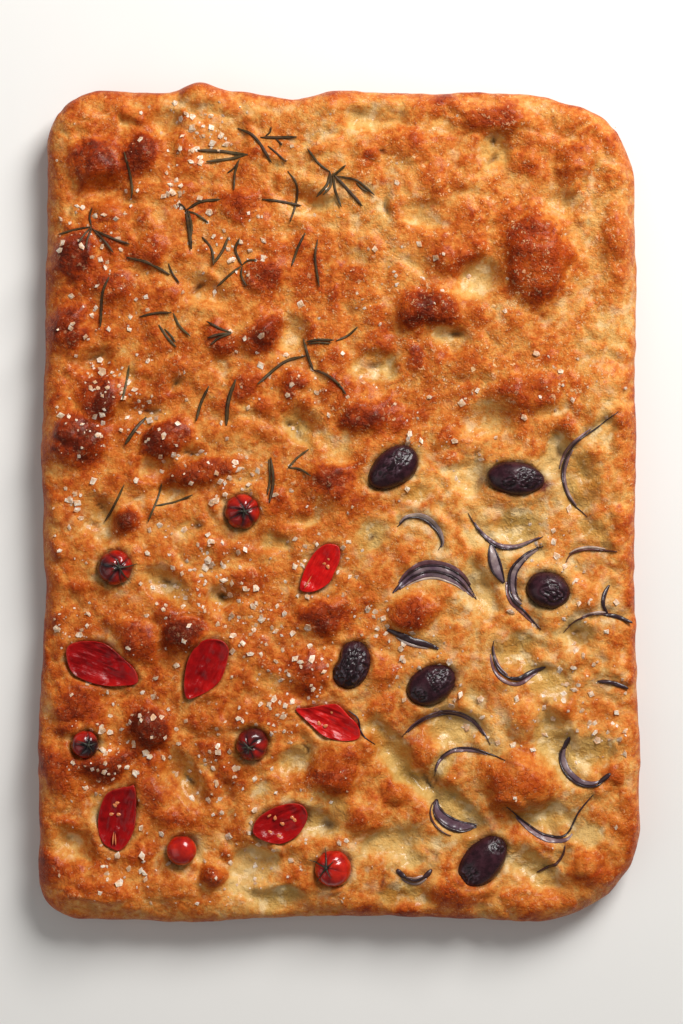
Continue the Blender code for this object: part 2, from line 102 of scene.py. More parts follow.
# Dimples: the same, with depth for height, then how much paler the crust is and how moist.
DIMPLES = (
    (-85, 182, 9, 7, 0, 5.0, 0.42, 0.3), (-110, 149, 12, 6, -20, 5.0, 0.30, 0.5),
    (-66, 101, 14, 7, -20, 5.5, 0.30, 0.4), (-18, 145, 14, 7, -25, 5.5, 0.30, 0.4),
    (15, 184, 16, 7, 0, 4.0, 0.22, 0.3), (76, 169, 7, 8, 0, 5.0, 0.34, 0.5),
    (40, 137, 11, 8, 0, 4.5, 0.34, 0.3), (66, 107, 11, 10, 0, 6.5, 0.38, 0.3),
    (107, 142, 10, 7, 0, 5.0, 0.26, 0.3), (54, 76, 9, 7, 30, 5.5, 0.26, 0.3),
    (-23, 80, 8, 9, 0, 6.0, 0.50, 0.3), (-119, 67, 11, 6, 20, 5.5, 0.40, 0.5),
    (-100, 42, 12, 6, 20, 5.5, 0.30, 0.6), (-89, 15, 9, 6, 10, 5.0, 0.42, 0.2),
    (-19, 37, 10, 8, -40, 6.5, 0.34, 0.9), (18, 66, 11, 7, 0, 5.0, 0.36, 0.6),
    (71, 38, 14, 8, 0, 6.5, 0.22, 0.2), (104, 22, 7, 14, -15, 6.0, 0.45, 0.3),
    (116, 8, 8, 17, 0, 4.0, 0.10, 0.8), (-84, 4, 11, 6, 10, 5.5, 0.44, 0.3),
    (-116, -10, 9, 14, 20, 6.5, 0.30, 0.9), (63, 12, 9, 10, 0, 5.0, 0.36, 0.2),
    (84, -14, 13, 7, 0, 5.0, 0.26, 0.9), (-84, -42, 13, 8, -40, 6.0, 0.24, 0.9),
    (-56, -47, 8, 6, 0, 7.0, 0.24, 0.6), (68, -42, 8, 15, 25, 6.5, 0.50, 0.4),
    (86, -74, 12, 10, 0, 5.5, 0.34, 0.8), (102, -88, 14, 8, -35, 5.0, 0.30, 0.8),
    (53, -110, 16, 9, 0, 6.0, 0.30, 0.7), (105, -118, 9, 20, 25, 6.0, 0.36, 0.8),
    (122, -124, 10, 9, 0, 6.0, 0.36, 0.8), (50, -144, 28, 7, -38, 7.0, 0.36, 0.8),
    (26, -122, 22, 7, -52, 6.5, 0.26, 0.7), (-75, -134, 18, 7, -55, 7.0, 0.32, 0.7),
    (-22, -127, 12, 7, 10, 5.0, 0.32, 0.6), (-12, -155, 11, 7, 0, 5.5, 0.34, 0.8),
    (-43, -175, 13, 10, 0, 6.5, 0.46, 0.4), (98, -153, 16, 9, 0, 5.5, 0.32, 0.7),
    (94, -179, 18, 7, -38, 6.0, 0.30, 0.8), (-128, -166, 12, 6, -40, 5.5, 0.38, 0.4),
    (25, -165, 18, 8, 5, 5.0, 0.32, 0.6), (32, -190, 14, 7, 0, 4.0, 0.20, 0.8),
    (116, -66, 10, 7, 0, 5.0, 0.34, 0.7), (-30, -193, 14, 6, 0, 4.0, 0.24, 0.9),
)

# Red-onion slices: points that the slice runs through, then its greatest width.
ONIONS = (
    (((27.7, -12.3), (33, -8.2), (40, -9), (46, -13.7), (49, -20), (47.5, -23.7)), 3.0),
    (((25.5, -44.5), (36, -35.8), (46, -33.6), (57, -38), (66, -47.5)), 9.0),
    (((134, 43), (124, 35.5), (112, 26), (107.3, 13.5), (110.5, 2), (119.2, -7.7)), 3.2),
    (((62, -5.7), (68, -14.9), (76, -21.3), (85, -22), (98, -17)), 3.2),
    (((72.8, -20), (73.6, -26), (75.6, -33), (79.2, -39.5)), 5.4),
    (((98, -22), (89.5, -26.5), (83.8, -33), (82.6, -40), (84.3, -47), (89.5, -52.5), (97, -62)), 4.6),
    (((109, -29.8), (111.5, -25.8), (117.5, -23.5), (125, -23.7), (133.5, -24.4)), 2.6),
    (((108, -63.5), (114, -57.8), (122, -54.8), (131, -55), (141, -58.7)), 3.0),
    (((129.8, -40.5), (127.3, -45), (126.8, -50), (129, -54)), 2.8),
    (((22.7, -62), (34, -67.2), (47.5, -71.2)), 4.0),
    (((74.3, -67.5), (73.6, -73), (77, -82), (84.7, -86.2), (92, -83.2), (99.2, -80.2)), 3.4),
    (((124.3, -87), (130, -87.4), (139, -90.6)), 3.0),
    (((29.8, -113.6), (40, -105.6), (52, -102.6), (63, -105.8), (69, -112), (72.4, -117.5)), 3.2),
    (((45.7, -133), (47.5, -126), (54, -120.5), (64, -120), (79.5, -124.5)), 3.0),
    (((111, -114.2), (107.5, -122.5), (109.2, -130), (116, -135.8), (123.5, -136), (130, -131)), 3.8),
    (((80, -147.3), (88.8, -155), (99, -161.5), (109.3, -161.3), (115, -151), (122, -141.5)), 3.2),
    (((46.8, -144.5), (46.8, -149.5), (51, -154.3), (58, -157.3), (66, -157.3)), 5.4),
    (((27.3, -177.5), (31, -181.3), (36, -183), (41, -180.8), (44.3, -177.6)), 3.4),
    (((95.5, -179.7), (100, -177.5), (104.5, -175), (107.6, -171), (108.4, -166)), 2.4),
)

# ---------------------------------------------------------------- what only the looks add
# Smaller blisters and lumps, laid out as BLISTERS are.
LUMPS = (
    (-98, 186, 6, 5, 0, 1.6, 0.14), (12, 163, 8, 7, 0, 1.8, 0.16), (52, 193, 7, 6, 0, 1.6, 0.16),
    (87, 162, 9, 7, 0, 2.0, 0.20), (0, 194, 12, 6, 0, 1.6, 0.10), (-17, 125, 7, 6, 0, 1.8, 0.20),
    (62, 120, 7, 6, 0, 1.6, 0.14), (52, 116, 6, 5, 0, 1.4, 0.10), (-5, 95, 10, 8, 0, 2.0, 0.14),
    (-22, 56, 6, 6, 0, 1.8, 0.26), (-35, 47, 6, 5, 0, 1.4, 0.20), (-45, 58, 8, 6, 30, 1.8, 0.24),
    (36, 70, 6, 5, 0, 1.5, 0.30), (75, 48, 7, 6, 0, 1.4, 0.16), (63, 66, 10, 8, 0, 1.6, 0.10),
    (24, 36, 10, 8, 0, 1.4, 0.18), (4, 58, 9, 8, 0, 1.2, 0.10), (55, 32, 5, 4, 0, 1.2, 0.22),
    (107, 38, 7, 5, 0, 1.5, 0.12), (128, 6, 8, 10, 0, 1.6, 0.02), (-52, -23, 14, 5, 0, 1.8, 0.12),
    (-126, -42, 6, 5, 0, 1.6, 0.24), (-43, -40, 10, 5, -20, 1.8, 0.18), (-84, -54, 9, 5, 0, 1.6, 0.20),
    (15, -42, 12, 8, 0, 1.6, 0.10), (120, -45, 8, 6, 0, 1.4, 0.06), (-135, -57, 5, 5, 0, 1.2, 0.20),
    (-40, -72, 9, 7, 0, 1.6, 0.16), (22, -82, 7, 6, 0, 1.2, 0.16), (20, -97, 9, 7, 0, 1.4, 0.20),
    (130, -76, 9, 7, 0, 1.4, 0.02), (108, -97, 9, 7, 0, 1.6, 0.08), (-120, -103, 8, 6, 0, 1.6, 0.16),
    (12, -120, 10, 8, 0, 1.8, 0.16), (36, -119, 11, 8, -20, 2.0, 0.18), (-52, -132, 7, 6, 0, 1.4, 0.14),
    (133, -134, 6, 6, 0, 2.0, 0.36), (-74, -154, 12, 6, 0, 1.6, 0.18), (26, -141, 7, 6, 0, 1.6, 0.14),
    (-55, -167, 5, 5, 0, 1.6, 0.28), (-141, -176, 8, 10, 0, 1.6, 0.24), (-22, -184, 10, 7, 0, 1.4, 0.14),
    (8, -194, 10, 6, 0, 1.6, 0.18), (86, -191, 12, 6, 0, 1.6, 0.16), (126, -184, 14, 6, 45, 1.8, 0.14),
    (140, -158, 6, 10, 0, 1.4, 0.16), (-22, -168, 6, 4, 0, 1.2, 0.14), (-30, 172, 12, 10, 0, 1.4, 0.06),
    (-80, 62, 14, 9, 0, 1.6, 0.04), (-50, 33, 16, 6, 5, 1.2, 0.02), (-28, -4, 7, 12, 0, 1.2, 0.18),
)
# Thin-skinned bubbles, steep at their edge and glossy: x, y, radius, height, browning.
BUBBLES = (
    (-119, 160, 9.5, 2.6, 0.02), (-96, 168, 6.5, 1.8, 0.08), (-112, 140, 6.5, 1.8, 0.10), (-132, 124, 5.5, 1.6, 0.10),
    (-102, -10, 5.5, 2.4, 0.20), (-76, -66, 8.5, 2.8, 0.22), (-93, -110, 8.5, 3.0, 0.15), (-90, -125, 5.0, 1.6, 0.12),
    (-57, -105, 4.2, 1.8, 0.06), (-61, -180, 5.4, 2.6, 0.22), (-55, -167, 4.0, 1.8, 0.16), (118, -176, 6.0, 2.0, 0.02),
    (26, -141, 5.5, 1.8, 0.10), (-52, -133, 4.6, 1.4, 0.06), (-121, 27, 7.5, 1.8, 0.10), (-131, 36, 6.5, 1.6, 0.10),
    (-113, 45, 5.5, 1.6, 0.10), (-4, -134, 6.5, 1.8, 0.12), (102, -112, 3.6, 1.0, -0.10), (129, -8, 4.6, 1.0, 0.0),
    (-8, -62, 5.0, 1.4, 0.10), (-3, -50, 5.5, 1.6, 0.14), (86, -136, 16.0, 3.0, 0.0),
    (33, 92, 6.5, 1.6, 0.0), (50, 91, 6.5, 1.4, 0.0), (96, 116, 15.0, 2.2, 0.0),
    (15.5, 164.4, 4.5, 1.6, 0.12), (49, 156.6, 3.8, 1.5, 0.0), (91, 163.4, 4.2, 1.6, 0.0), (67.7, 121.8, 4.6, 1.6, 0.0),
    (107, 130.5, 2.8, 1.2, -0.06), (113, 149, 3.0, 1.2, 0.0), (51, 118, 4.0, 1.3, 0.06), (23, 179, 3.0, 1.0, -0.05),
    (-37, 83, 7.0, 1.4, 0.10), (-84, 30, 7.5, 1.4, 0.08), (-129, 86, 6.0, 1.4, 0.08), (-7, 11, 7.0, 1.4, 0.08),
)
# Small pits and pale spots, laid out as DIMPLES are.
PITS = (
    (-103, 182, 5, 4, 0, 2.0, 0.25, 0.3), (-87, 135, 6, 5, 0, 2.0, 0.25, 0.3), (-75, 97, 6, 4, 0, 1.5, 0.15, 0.3),
    (-57, 110, 5, 4, 0, 2.0, 0.25, 0.3), (-5, 145, 6, 4, 0, 2.0, 0.2, 0.4), (8, 185, 6, 4, 0, 1.8, 0.2, 0.3),
    (48, 181, 6, 4, 0, 2.0, 0.3, 0.3), (22, 140, 3, 7, 10, 2.0, 0.2, 0.5), (6, 116, 7, 6, 0, 2.0, 0.2, 0.3),
    (38, 115, 6, 5, 0, 2.0, 0.2, 0.3), (52, 79, 5, 5, 0, 1.5, 0.25, 0.0), (-56, 66, 6, 5, 0, 2.0, 0.3, 0.2),
    (-99.6, 64, 3, 8, 0, 2.0, 0.35, 0.3), (-78, 56, 7, 3, 15, 2.6, 0.3, 0.2), (-72, 22, 6, 3, 15, 2.6, 0.2, 0.8),
    (-6, 34, 5, 6, 0, 2.0, 0.4, 0.1), (24, 64, 4, 4, 0, 1.5, 0.3, 0.0), (103, 44, 7, 4, 0, 2.0, 0.25, 0.4),
    (0, 25, 7, 6, 0, 1.5, 0.2, 0.2), (54, 15, 5, 4, 0, 1.5, 0.3, 0.0), (36, 2, 13, 4, 0, 2.4, 0.25, 0.7),
    (13, -18, 9, 7, 0, 2.4, 0.3, 0.7), (65, -20, 7, 5, 0, 2.0, 0.35, 0.1), (123, -15, 9, 7, 0, 2.4, 0.2, 0.7),
    (94, -28, 6, 4, 0, 2.0, 0.3, 0.1), (-96, -1, 5, 4, 0, 2.0, 0.4, 0.1), (-72, -14, 6, 4, 0, 2.2, 0.3, 0.5),
    (-16, -8, 9, 4, 0, 2.2, 0.35, 0.2), (-30, -18, 8, 4, 20, 1.8, 0.2, 0.7), (65, -98, 7, 6, 0, 1.6, 0.25, 0.3),
    (50, -126, 7, 5, 20, 2.4, 0.3, 0.7), (-39, -139, 8, 4, 0, 1.6, 0.3, 0.2), (34, -174, 7, 5, 0, 2.4, 0.3, 0.7),
    (119, -162, 8, 6, 0, 2.4, 0.4, 0.4), (-117, -147, 4, 9, 0, 2.2, 0.3, 0.3), (-67, -168, 4, 8, 0, 1.8, 0.3, 0.3),
    (72, -197, 8, 5, 0, 1.2, 0.25, 0.3), (126, 33, 8, 6, 0, 1.6, 0.2, 0.1), (-58, -47, 4, 3, 0, 1.4, 0.4, 0.0),
    (6, -104, 5, 5, 0, 1.2, 0.1, 0.3), (-36, -88, 9, 5, -30, 1.8, 0.2, 0.4), (-60, -127, 7, 5, 0, 1.4, 0.2, 0.3),
    (66, 5, 5, 4, 0, 1.0, 0.2, 0.0), (107, -66, 5, 4, 0, 1.0, 0.3, 0.1), (76, -120, 8, 4, 0, 1.0, 0.1, 0.3),
    (-46, -187, 9, 4, 0, 1.6, 0.25, 0.3), (58, -160, 6, 5, 0, 1.5, 0.1, 0.5), (0, -147, 6, 5, 0, 1.8, 0.2, 0.8),
)
# Slits where a fingertip went deep, darkened with painted shade: x, y, half-length, half-width, heading, depth.
SLITS = (
    (-70, 102, 5, 1.6, 20, 2.6), (76, 173, 2.2, 1.6, 60, 2.2), (75, 166, 2.4, 1.6, 80, 2.4),
    (20, 168, 2.2, 1.8, 0, 2.0), (22, 140, 1.6, 5, 15, 2.2), (57, 80.5, 3.0, 1.8, 40, 2.6),
    (-119, 68.5, 5.5, 1.5, 25, 2.4), (-77.5, 56, 4.0, 1.2, 20, 2.4), (-91, 46.5, 5, 1.3, -20, 1.8),
    (-72.5, 21.8, 3.2, 1.2, 15, 2.2), (-23, 38.5, 2.6, 1.6, 20, 2.6), (-17.5, 36, 4.5, 1.6, -55, 2.6),
    (-54.8, -46.6, 3.8, 2.6, 0, 4.5), (-69, -13.8, 3.2, 1.3, 20, 2.0), (-17, -121.5, 3.5, 1.2, -35, 2.2),
    (-75, -134, 6, 1.5, -60, 2.8), (-6.7, -155.4, 2.8, 3.6, -20, 3.2), (14, -17.5, 2.2, 1.2, 30, 1.6),
    (65, 24, 2.4, 1.5, 20, 2.0), (106, 23.5, 2.0, 4, 25, 2.0), (17.5, 66, 2.4, 1.4, 0, 2.2),
    (98.5, -96.5, 2.6, 1.5, 40, 1.8), (43, -132, 2.4, 5, 25, 2.4), (-116, -4, 3, 1.2, -20, 1.4),
    (-119, -12, 4, 1.3, -30, 1.8), (22.5, -183, 1.4, 4, 0, 1.0), (115, -64, 3.0, 1.2, 25, 1.4),
    (-83, -40, 4.5, 1.5, -40, 2.0), (48, -132, 1.5, 3, 10, 1.6), (44, -171, 1.4, 3.5, 30, 1.8),
)
# Where the whole crust is browner (or paler, if negative): x, y, reach, how much.
TINTS = (
    (-110, 150, 70, 0.08), (-130, 60, 50, 0.08), (-100, -110, 60, 0.07), (-125, -185, 45, 0.02),
    (115, 60, 60, -0.08), (120, 150, 60, -0.02), (60, -20, 45, -0.05), (100, -100, 55, -0.09),
    (60, -150, 45, -0.07), (0, -165, 45, -0.05), (30, 60, 40, 0.05), (-20, -70, 35, 0.04),
    (70, 110, 50, 0.06), (-60, 60, 50, 0.02), (25, -190, 30, 0.04), (105, -15, 30, -0.05),
    (133, 140, 22, -0.14), (135, 90, 20, -0.12), (-15, 178, 30, -0.12), (15, 140, 18, -0.10), (-70, 192, 16, -0.20),
    (30, 100, 18, -0.08), (-45, -185, 22, -0.08), (80, -139, 12, 0.10), (50, -90, 60, 0.03), (-70, -100, 55, 0.03), (118, -20, 14, 0.14), (100, 60, 22, 0.06),
    (63, -51, 9, -0.28), (60, -76, 10, -0.10), (-55, -185, 28, -0.10),
    (-60, -30, 12, -0.12),
)

# The layers of each onion slice: how far to the left of its route, width, tone (0 dark skin,
# 1 pale flesh), how red, and which share of the route it runs along.
LAYERS = (
    ((0.0, 1.1, 0.0, 0.0, 0.0, 1.0), (1.5, 2.4, 0.9, 0.1, 0.05, 0.95)),
    (
        (4.0, 2.2, 0.42, 0.4, 0.10, 0.86), (2.7, 1.0, 0.0, 0.0, 0.0, 1.0), (1.2, 2.6, 0.55, 0.0, 0.0, 0.97),
        (-0.5, 1.0, 0.05, 0.0, 0.03, 1.0), (-2.0, 2.4, 0.5, 0.1, 0.06, 0.98), (-3.6, 1.1, 1.0, 0.2, 0.14, 0.86),
    ),
    ((0.0, 1.0, 0.0, 0.0, 0.0, 1.0), (1.2, 1.5, 0.7, 0.2, 0.42, 0.9), (-1.3, 1.5, 0.6, 0.3, 0.22, 0.6)),
    ((-0.8, 1.0, 0.0, 0.0, 0.0, 1.0), (0.5, 1.8, 0.6, 0.1, 0.12, 0.97)),
    ((0.0, 4.6, 0.62, 0.0, 0.0, 1.0), (-2.4, 1.3, 0.0, 0.0, 0.0, 1.0), (2.5, 1.0, 0.05, 0.0, 0.0, 1.0)),
    (
        (-2.3, 2.4, 0.5, 0.6, 0.46, 0.92), (0.7, 3.0, 0.75, 0.0, 0.05, 0.72),
        (-1.1, 1.5, 0.0, 0.0, 0.0, 1.0), (2.2, 0.7, 0.15, 0.0, 0.12, 0.7),
    ),
    ((1.1, 1.4, 1.0, 0.3, 0.15, 0.8), (0.0, 1.1, 0.1, 0.8, 0.0, 1.0)),
    ((1.0, 1.3, 0.9, 0.3, 0.3, 0.66), (0.0, 0.9, 0.05, 0.5, 0.0, 0.7), (0.0, 2.2, 0.0, 0.1, 0.58, 1.0)),
    ((0.0, 2.3, 0.0, 0.1, 0.0, 1.0),),
    ((-1.7, 1.5, 0.85, 0.1, 0.2, 0.85), (0.3, 3.4, 0.0, 0.1, 0.0, 1.0)),
    (
        (-2.1, 1.9, 0.5, 0.4, 0.15, 0.9), (1.2, 1.1, 0.6, 0.1, 0.05, 0.5),
        (0.0, 1.2, 0.0, 0.0, 0.0, 1.0), (0.4, 2.4, 0.0, 0.0, 0.52, 1.0),
    ),
    ((0.0, 2.2, 0.0, 0.1, 0.0, 1.0),),
    ((0.4, 2.2, 0.55, 0.2, 0.05, 0.95), (0.9, 0.8, 0.0, 0.3, 0.0, 1.0), (-0.8, 0.7, 0.1, 0.2, 0.06, 0.9)),
    ((-0.6, 1.9, 0.6, 0.2, 0.05, 0.8), (0.6, 0.9, 0.0, 0.2, 0.0, 1.0)),
    (
        (0.6, 2.8, 0.6, 0.0, 0.04, 0.86), (-1.2, 1.2, 0.0, 0.0, 0.0, 1.0),
        (0.0, 2.4, 0.05, 0.0, 0.0, 0.16), (0.0, 2.4, 0.0, 0.1, 0.82, 1.0),
    ),
    ((-1.5, 2.3, 0.55, 0.2, 0.12, 0.64), (0.3, 1.1, 0.0, 0.0, 0.0, 1.0)),
    (
        (-5.2, 0.9, 0.15, 0.5, 0.0, 0.6), (0.3, 5.2, 0.30, 0.0, 0.0, 1.0),
        (-2.4, 1.5, 0.0, 0.1, 0.0, 1.0), (2.6, 1.0, 0.05, 0.0, 0.0, 1.0),
    ),
    (
        (-1.7, 1.4, 0.8, 0.2, 0.2, 0.8), (1.0, 1.8, 0.75, 0.7, 0.3, 0.75),
        (-0.2, 1.4, 0.0, 0.1, 0.0, 1.0), (0.3, 2.8, 0.0, 0.1, 0.0, 0.34), (0.3, 2.6, 0.0, 0.3, 0.7, 1.0),
    ),
    ((0.0, 1.5, 0.05, 0.6, 0.0, 1.0),),
)
# Tomato halves: the outline of the cut face round the half's middle, and its seeds' places.
HALVES = (
    (
        ((-9.8, -10.2), (-7.2, -11.7), (-2.1, -11.2), (4.2, -7.4), (7.0, -2.0), (9.3, 3.2), (9.4, 9.0),
         (6.8, 11.2), (2.1, 11.0), (-2.5, 7.5), (-6.3, 1.7), (-8.8, -5.0)),
        ((3.8, 0.3), (4.2, 4.2), (2.1, 2.1)),
    ),
    (
        ((-17.3, 4.5), (-15.8, 8.6), (-11.0, 10.4), (-3.2, 10.5), (3.0, 8.4), (10.2, 2.4), (15.3, -2.4),
         (17.4, -7.0), (16.6, -10.0), (10.8, -10.9), (2.3, -11.0), (-7.3, -8.7), (-14.7, -4.1)),
        (),
    ),
    (
        ((3.0, 14.2), (7.8, 13.2), (10.6, 9.6), (10.2, 4.2), (7.5, -4.2), (3.6, -9.0), (-2.5, -12.7),
         (-8.4, -14.8), (-10.4, -12.6), (-10.8, -6.7), (-9.6, 1.7), (-6.7, 8.5), (-1.9, 13.2)),
        (),
    ),
    (
        ((-16.4, 5.6), (-15.6, 7.0), (-10.8, 6.9), (-4.2, 8.2), (2.0, 8.9), (5.2, 7.3), (8.8, 3.3),
         (12.9, -0.8), (14.5, -5.0), (13.4, -8.0), (8.3, -9.0), (2.1, -8.4), (-4.2, -5.8), (-10.6, 0.2)),
        ((-5.4, -0.4), (-2.1, -1.7), (0.8, 5.0)),
    ),
    (
        ((8.3, 15.2), (6.4, 14.7), (2.5, 14.2), (-1.7, 12.9), (-5.0, 11.0), (-7.6, 5.8), (-9.0, -0.8),
         (-8.7, -7.5), (-6.6, -12.6), (-1.7, -15.8), (1.9, -16.0), (5.8, -11.7), (8.5, -5.0), (9.2, 2.0), (9.3, 10.0)),
        ((-1.0, 5.5), (-2.6, 1.2), (0.2, 6.6), (0.9, 1.0)),
    ),
    (
        ((-12.9, -3.3), (-11.3, 1.2), (-7.5, 4.7), (-1.7, 7.8), (5.8, 9.5), (10.8, 8.6), (13.4, 5.0),
         (13.0, 0.8), (10.2, -4.2), (6.5, -7.6), (0.0, -10.0), (-6.9, -8.7), (-11.7, -6.0)),
        ((-5.0, 3.7), (-2.1, 2.5), (1.3, -0.4), (0.0, -6.2), (6.3, 2.5), (7.5, 1.2), (-4.6, -4.4)),
    ),
)
# Olives: how much narrower the near end is (the far end, if negative), a notch's place (in turns
# from the length) and depth, the wrinkles' depth, how ringed they are, how lilac the painted sheen on
# their crests is, then the wrinkled patches: middle and half-sizes, as shares of the olive's own.
OLIVES = (
    (-0.12, 0.72, 0.00, 0.35, 0.2, 0.8, ((0.12, 0.12, 0.72, 0.55),)),
    (0.04, 0.50, 0.00, 0.60, 0.4, 0.3, ((0.36, 0.02, 0.50, 0.62), (-0.22, -0.25, 0.30, 0.40))),
    (0.00, 0.50, 0.00, 0.65, 0.7, 0.6, ((0.20, -0.06, 0.60, 0.62),)),
    (0.02, 0.24, 0.36, 0.80, 0.4, 0.1, ((0.00, 0.00, 0.92, 0.88),)),
    (0.04, 0.50, 0.00, 0.45, 0.3, 0.4, ((0.40, 0.06, 0.50, 0.70), (-0.58, -0.10, 0.26, 0.45))),
    (0.02, 0.50, 0.00, 0.40, 0.2, 0.5, ((-0.58, 0.02, 0.30, 0.48), (0.74, 0.05, 0.22, 0.50))),
)
# Whole tomatoes: the crown's place from the middle as a share of the radius, lobes and their
# depth, how bright the red is, then where it is scorched (x, y, reach as shares, how much).
TOMATOES = (
    ((0.18, 0.00), 7, 0.15, 0.15, (0.1, 0.0, 0.3, 0.5)),
    ((0.33, 0.02), 6, 0.11, 0.25, (-0.7, 0.1, 0.65, 0.8)),
    ((0.35, 0.00), 5, 0.13, 0.12, (0.45, -0.2, 0.78, 1.0)),
    ((-0.22, -0.15), 6, 0.12, 0.10, (0.2, 0.7, 0.6, 0.7)),
    ((0.0, 1.2), 4, 0.015, 0.95, (0.6, 0.9, 0.3, 0.3)),
    ((-0.40, 0.14), 6, 0.06, 1.00, (-0.4, 0.1, 0.2, 0.3)),
)
# The sepals left on whole tomatoes: tomato's number, then for each sepal its heading and length.
SEPALS = (
    (1, ((20, 4.2), (100, 3.0), (170, 3.6), (250, 3.2), (-45, 2.6))),
    (2, ((5, 8.5), (-62, 9.0), (140, 5.0), (95, 4.4), (200, 4.2))),
    (3, ((150, 6.0), (70, 3.2), (-60, 3.0), (10, 3.4))),
    (4, ((125, 4.6), (20, 4.2), (170, 3.6), (-95, 3.4), (-30, 3.2))),
    (6, ((86, 9.6), (152, 9.2), (232, 8.6), (38, 5.2), (-70, 5.6))),
)
# Pale fibres standing out of two of the halves (half's number, route), and a hair of onion skin.
FIBRES = (
    (1, ((-17.1, -42), (-15.4, -39), (-13.8, -36.1))),
    (5, ((-109.4, -165.6), (-109.2, -162), (-108.8, -159.3))),
    (5, ((-107.9, -165.6), (-108.1, -162.5), (-108.2, -160))),
)
SKIN_HAIR = ((4, -101), (8.5, -104.6), (9.8, -110.2), (12, -113.8), (17, -117.5))
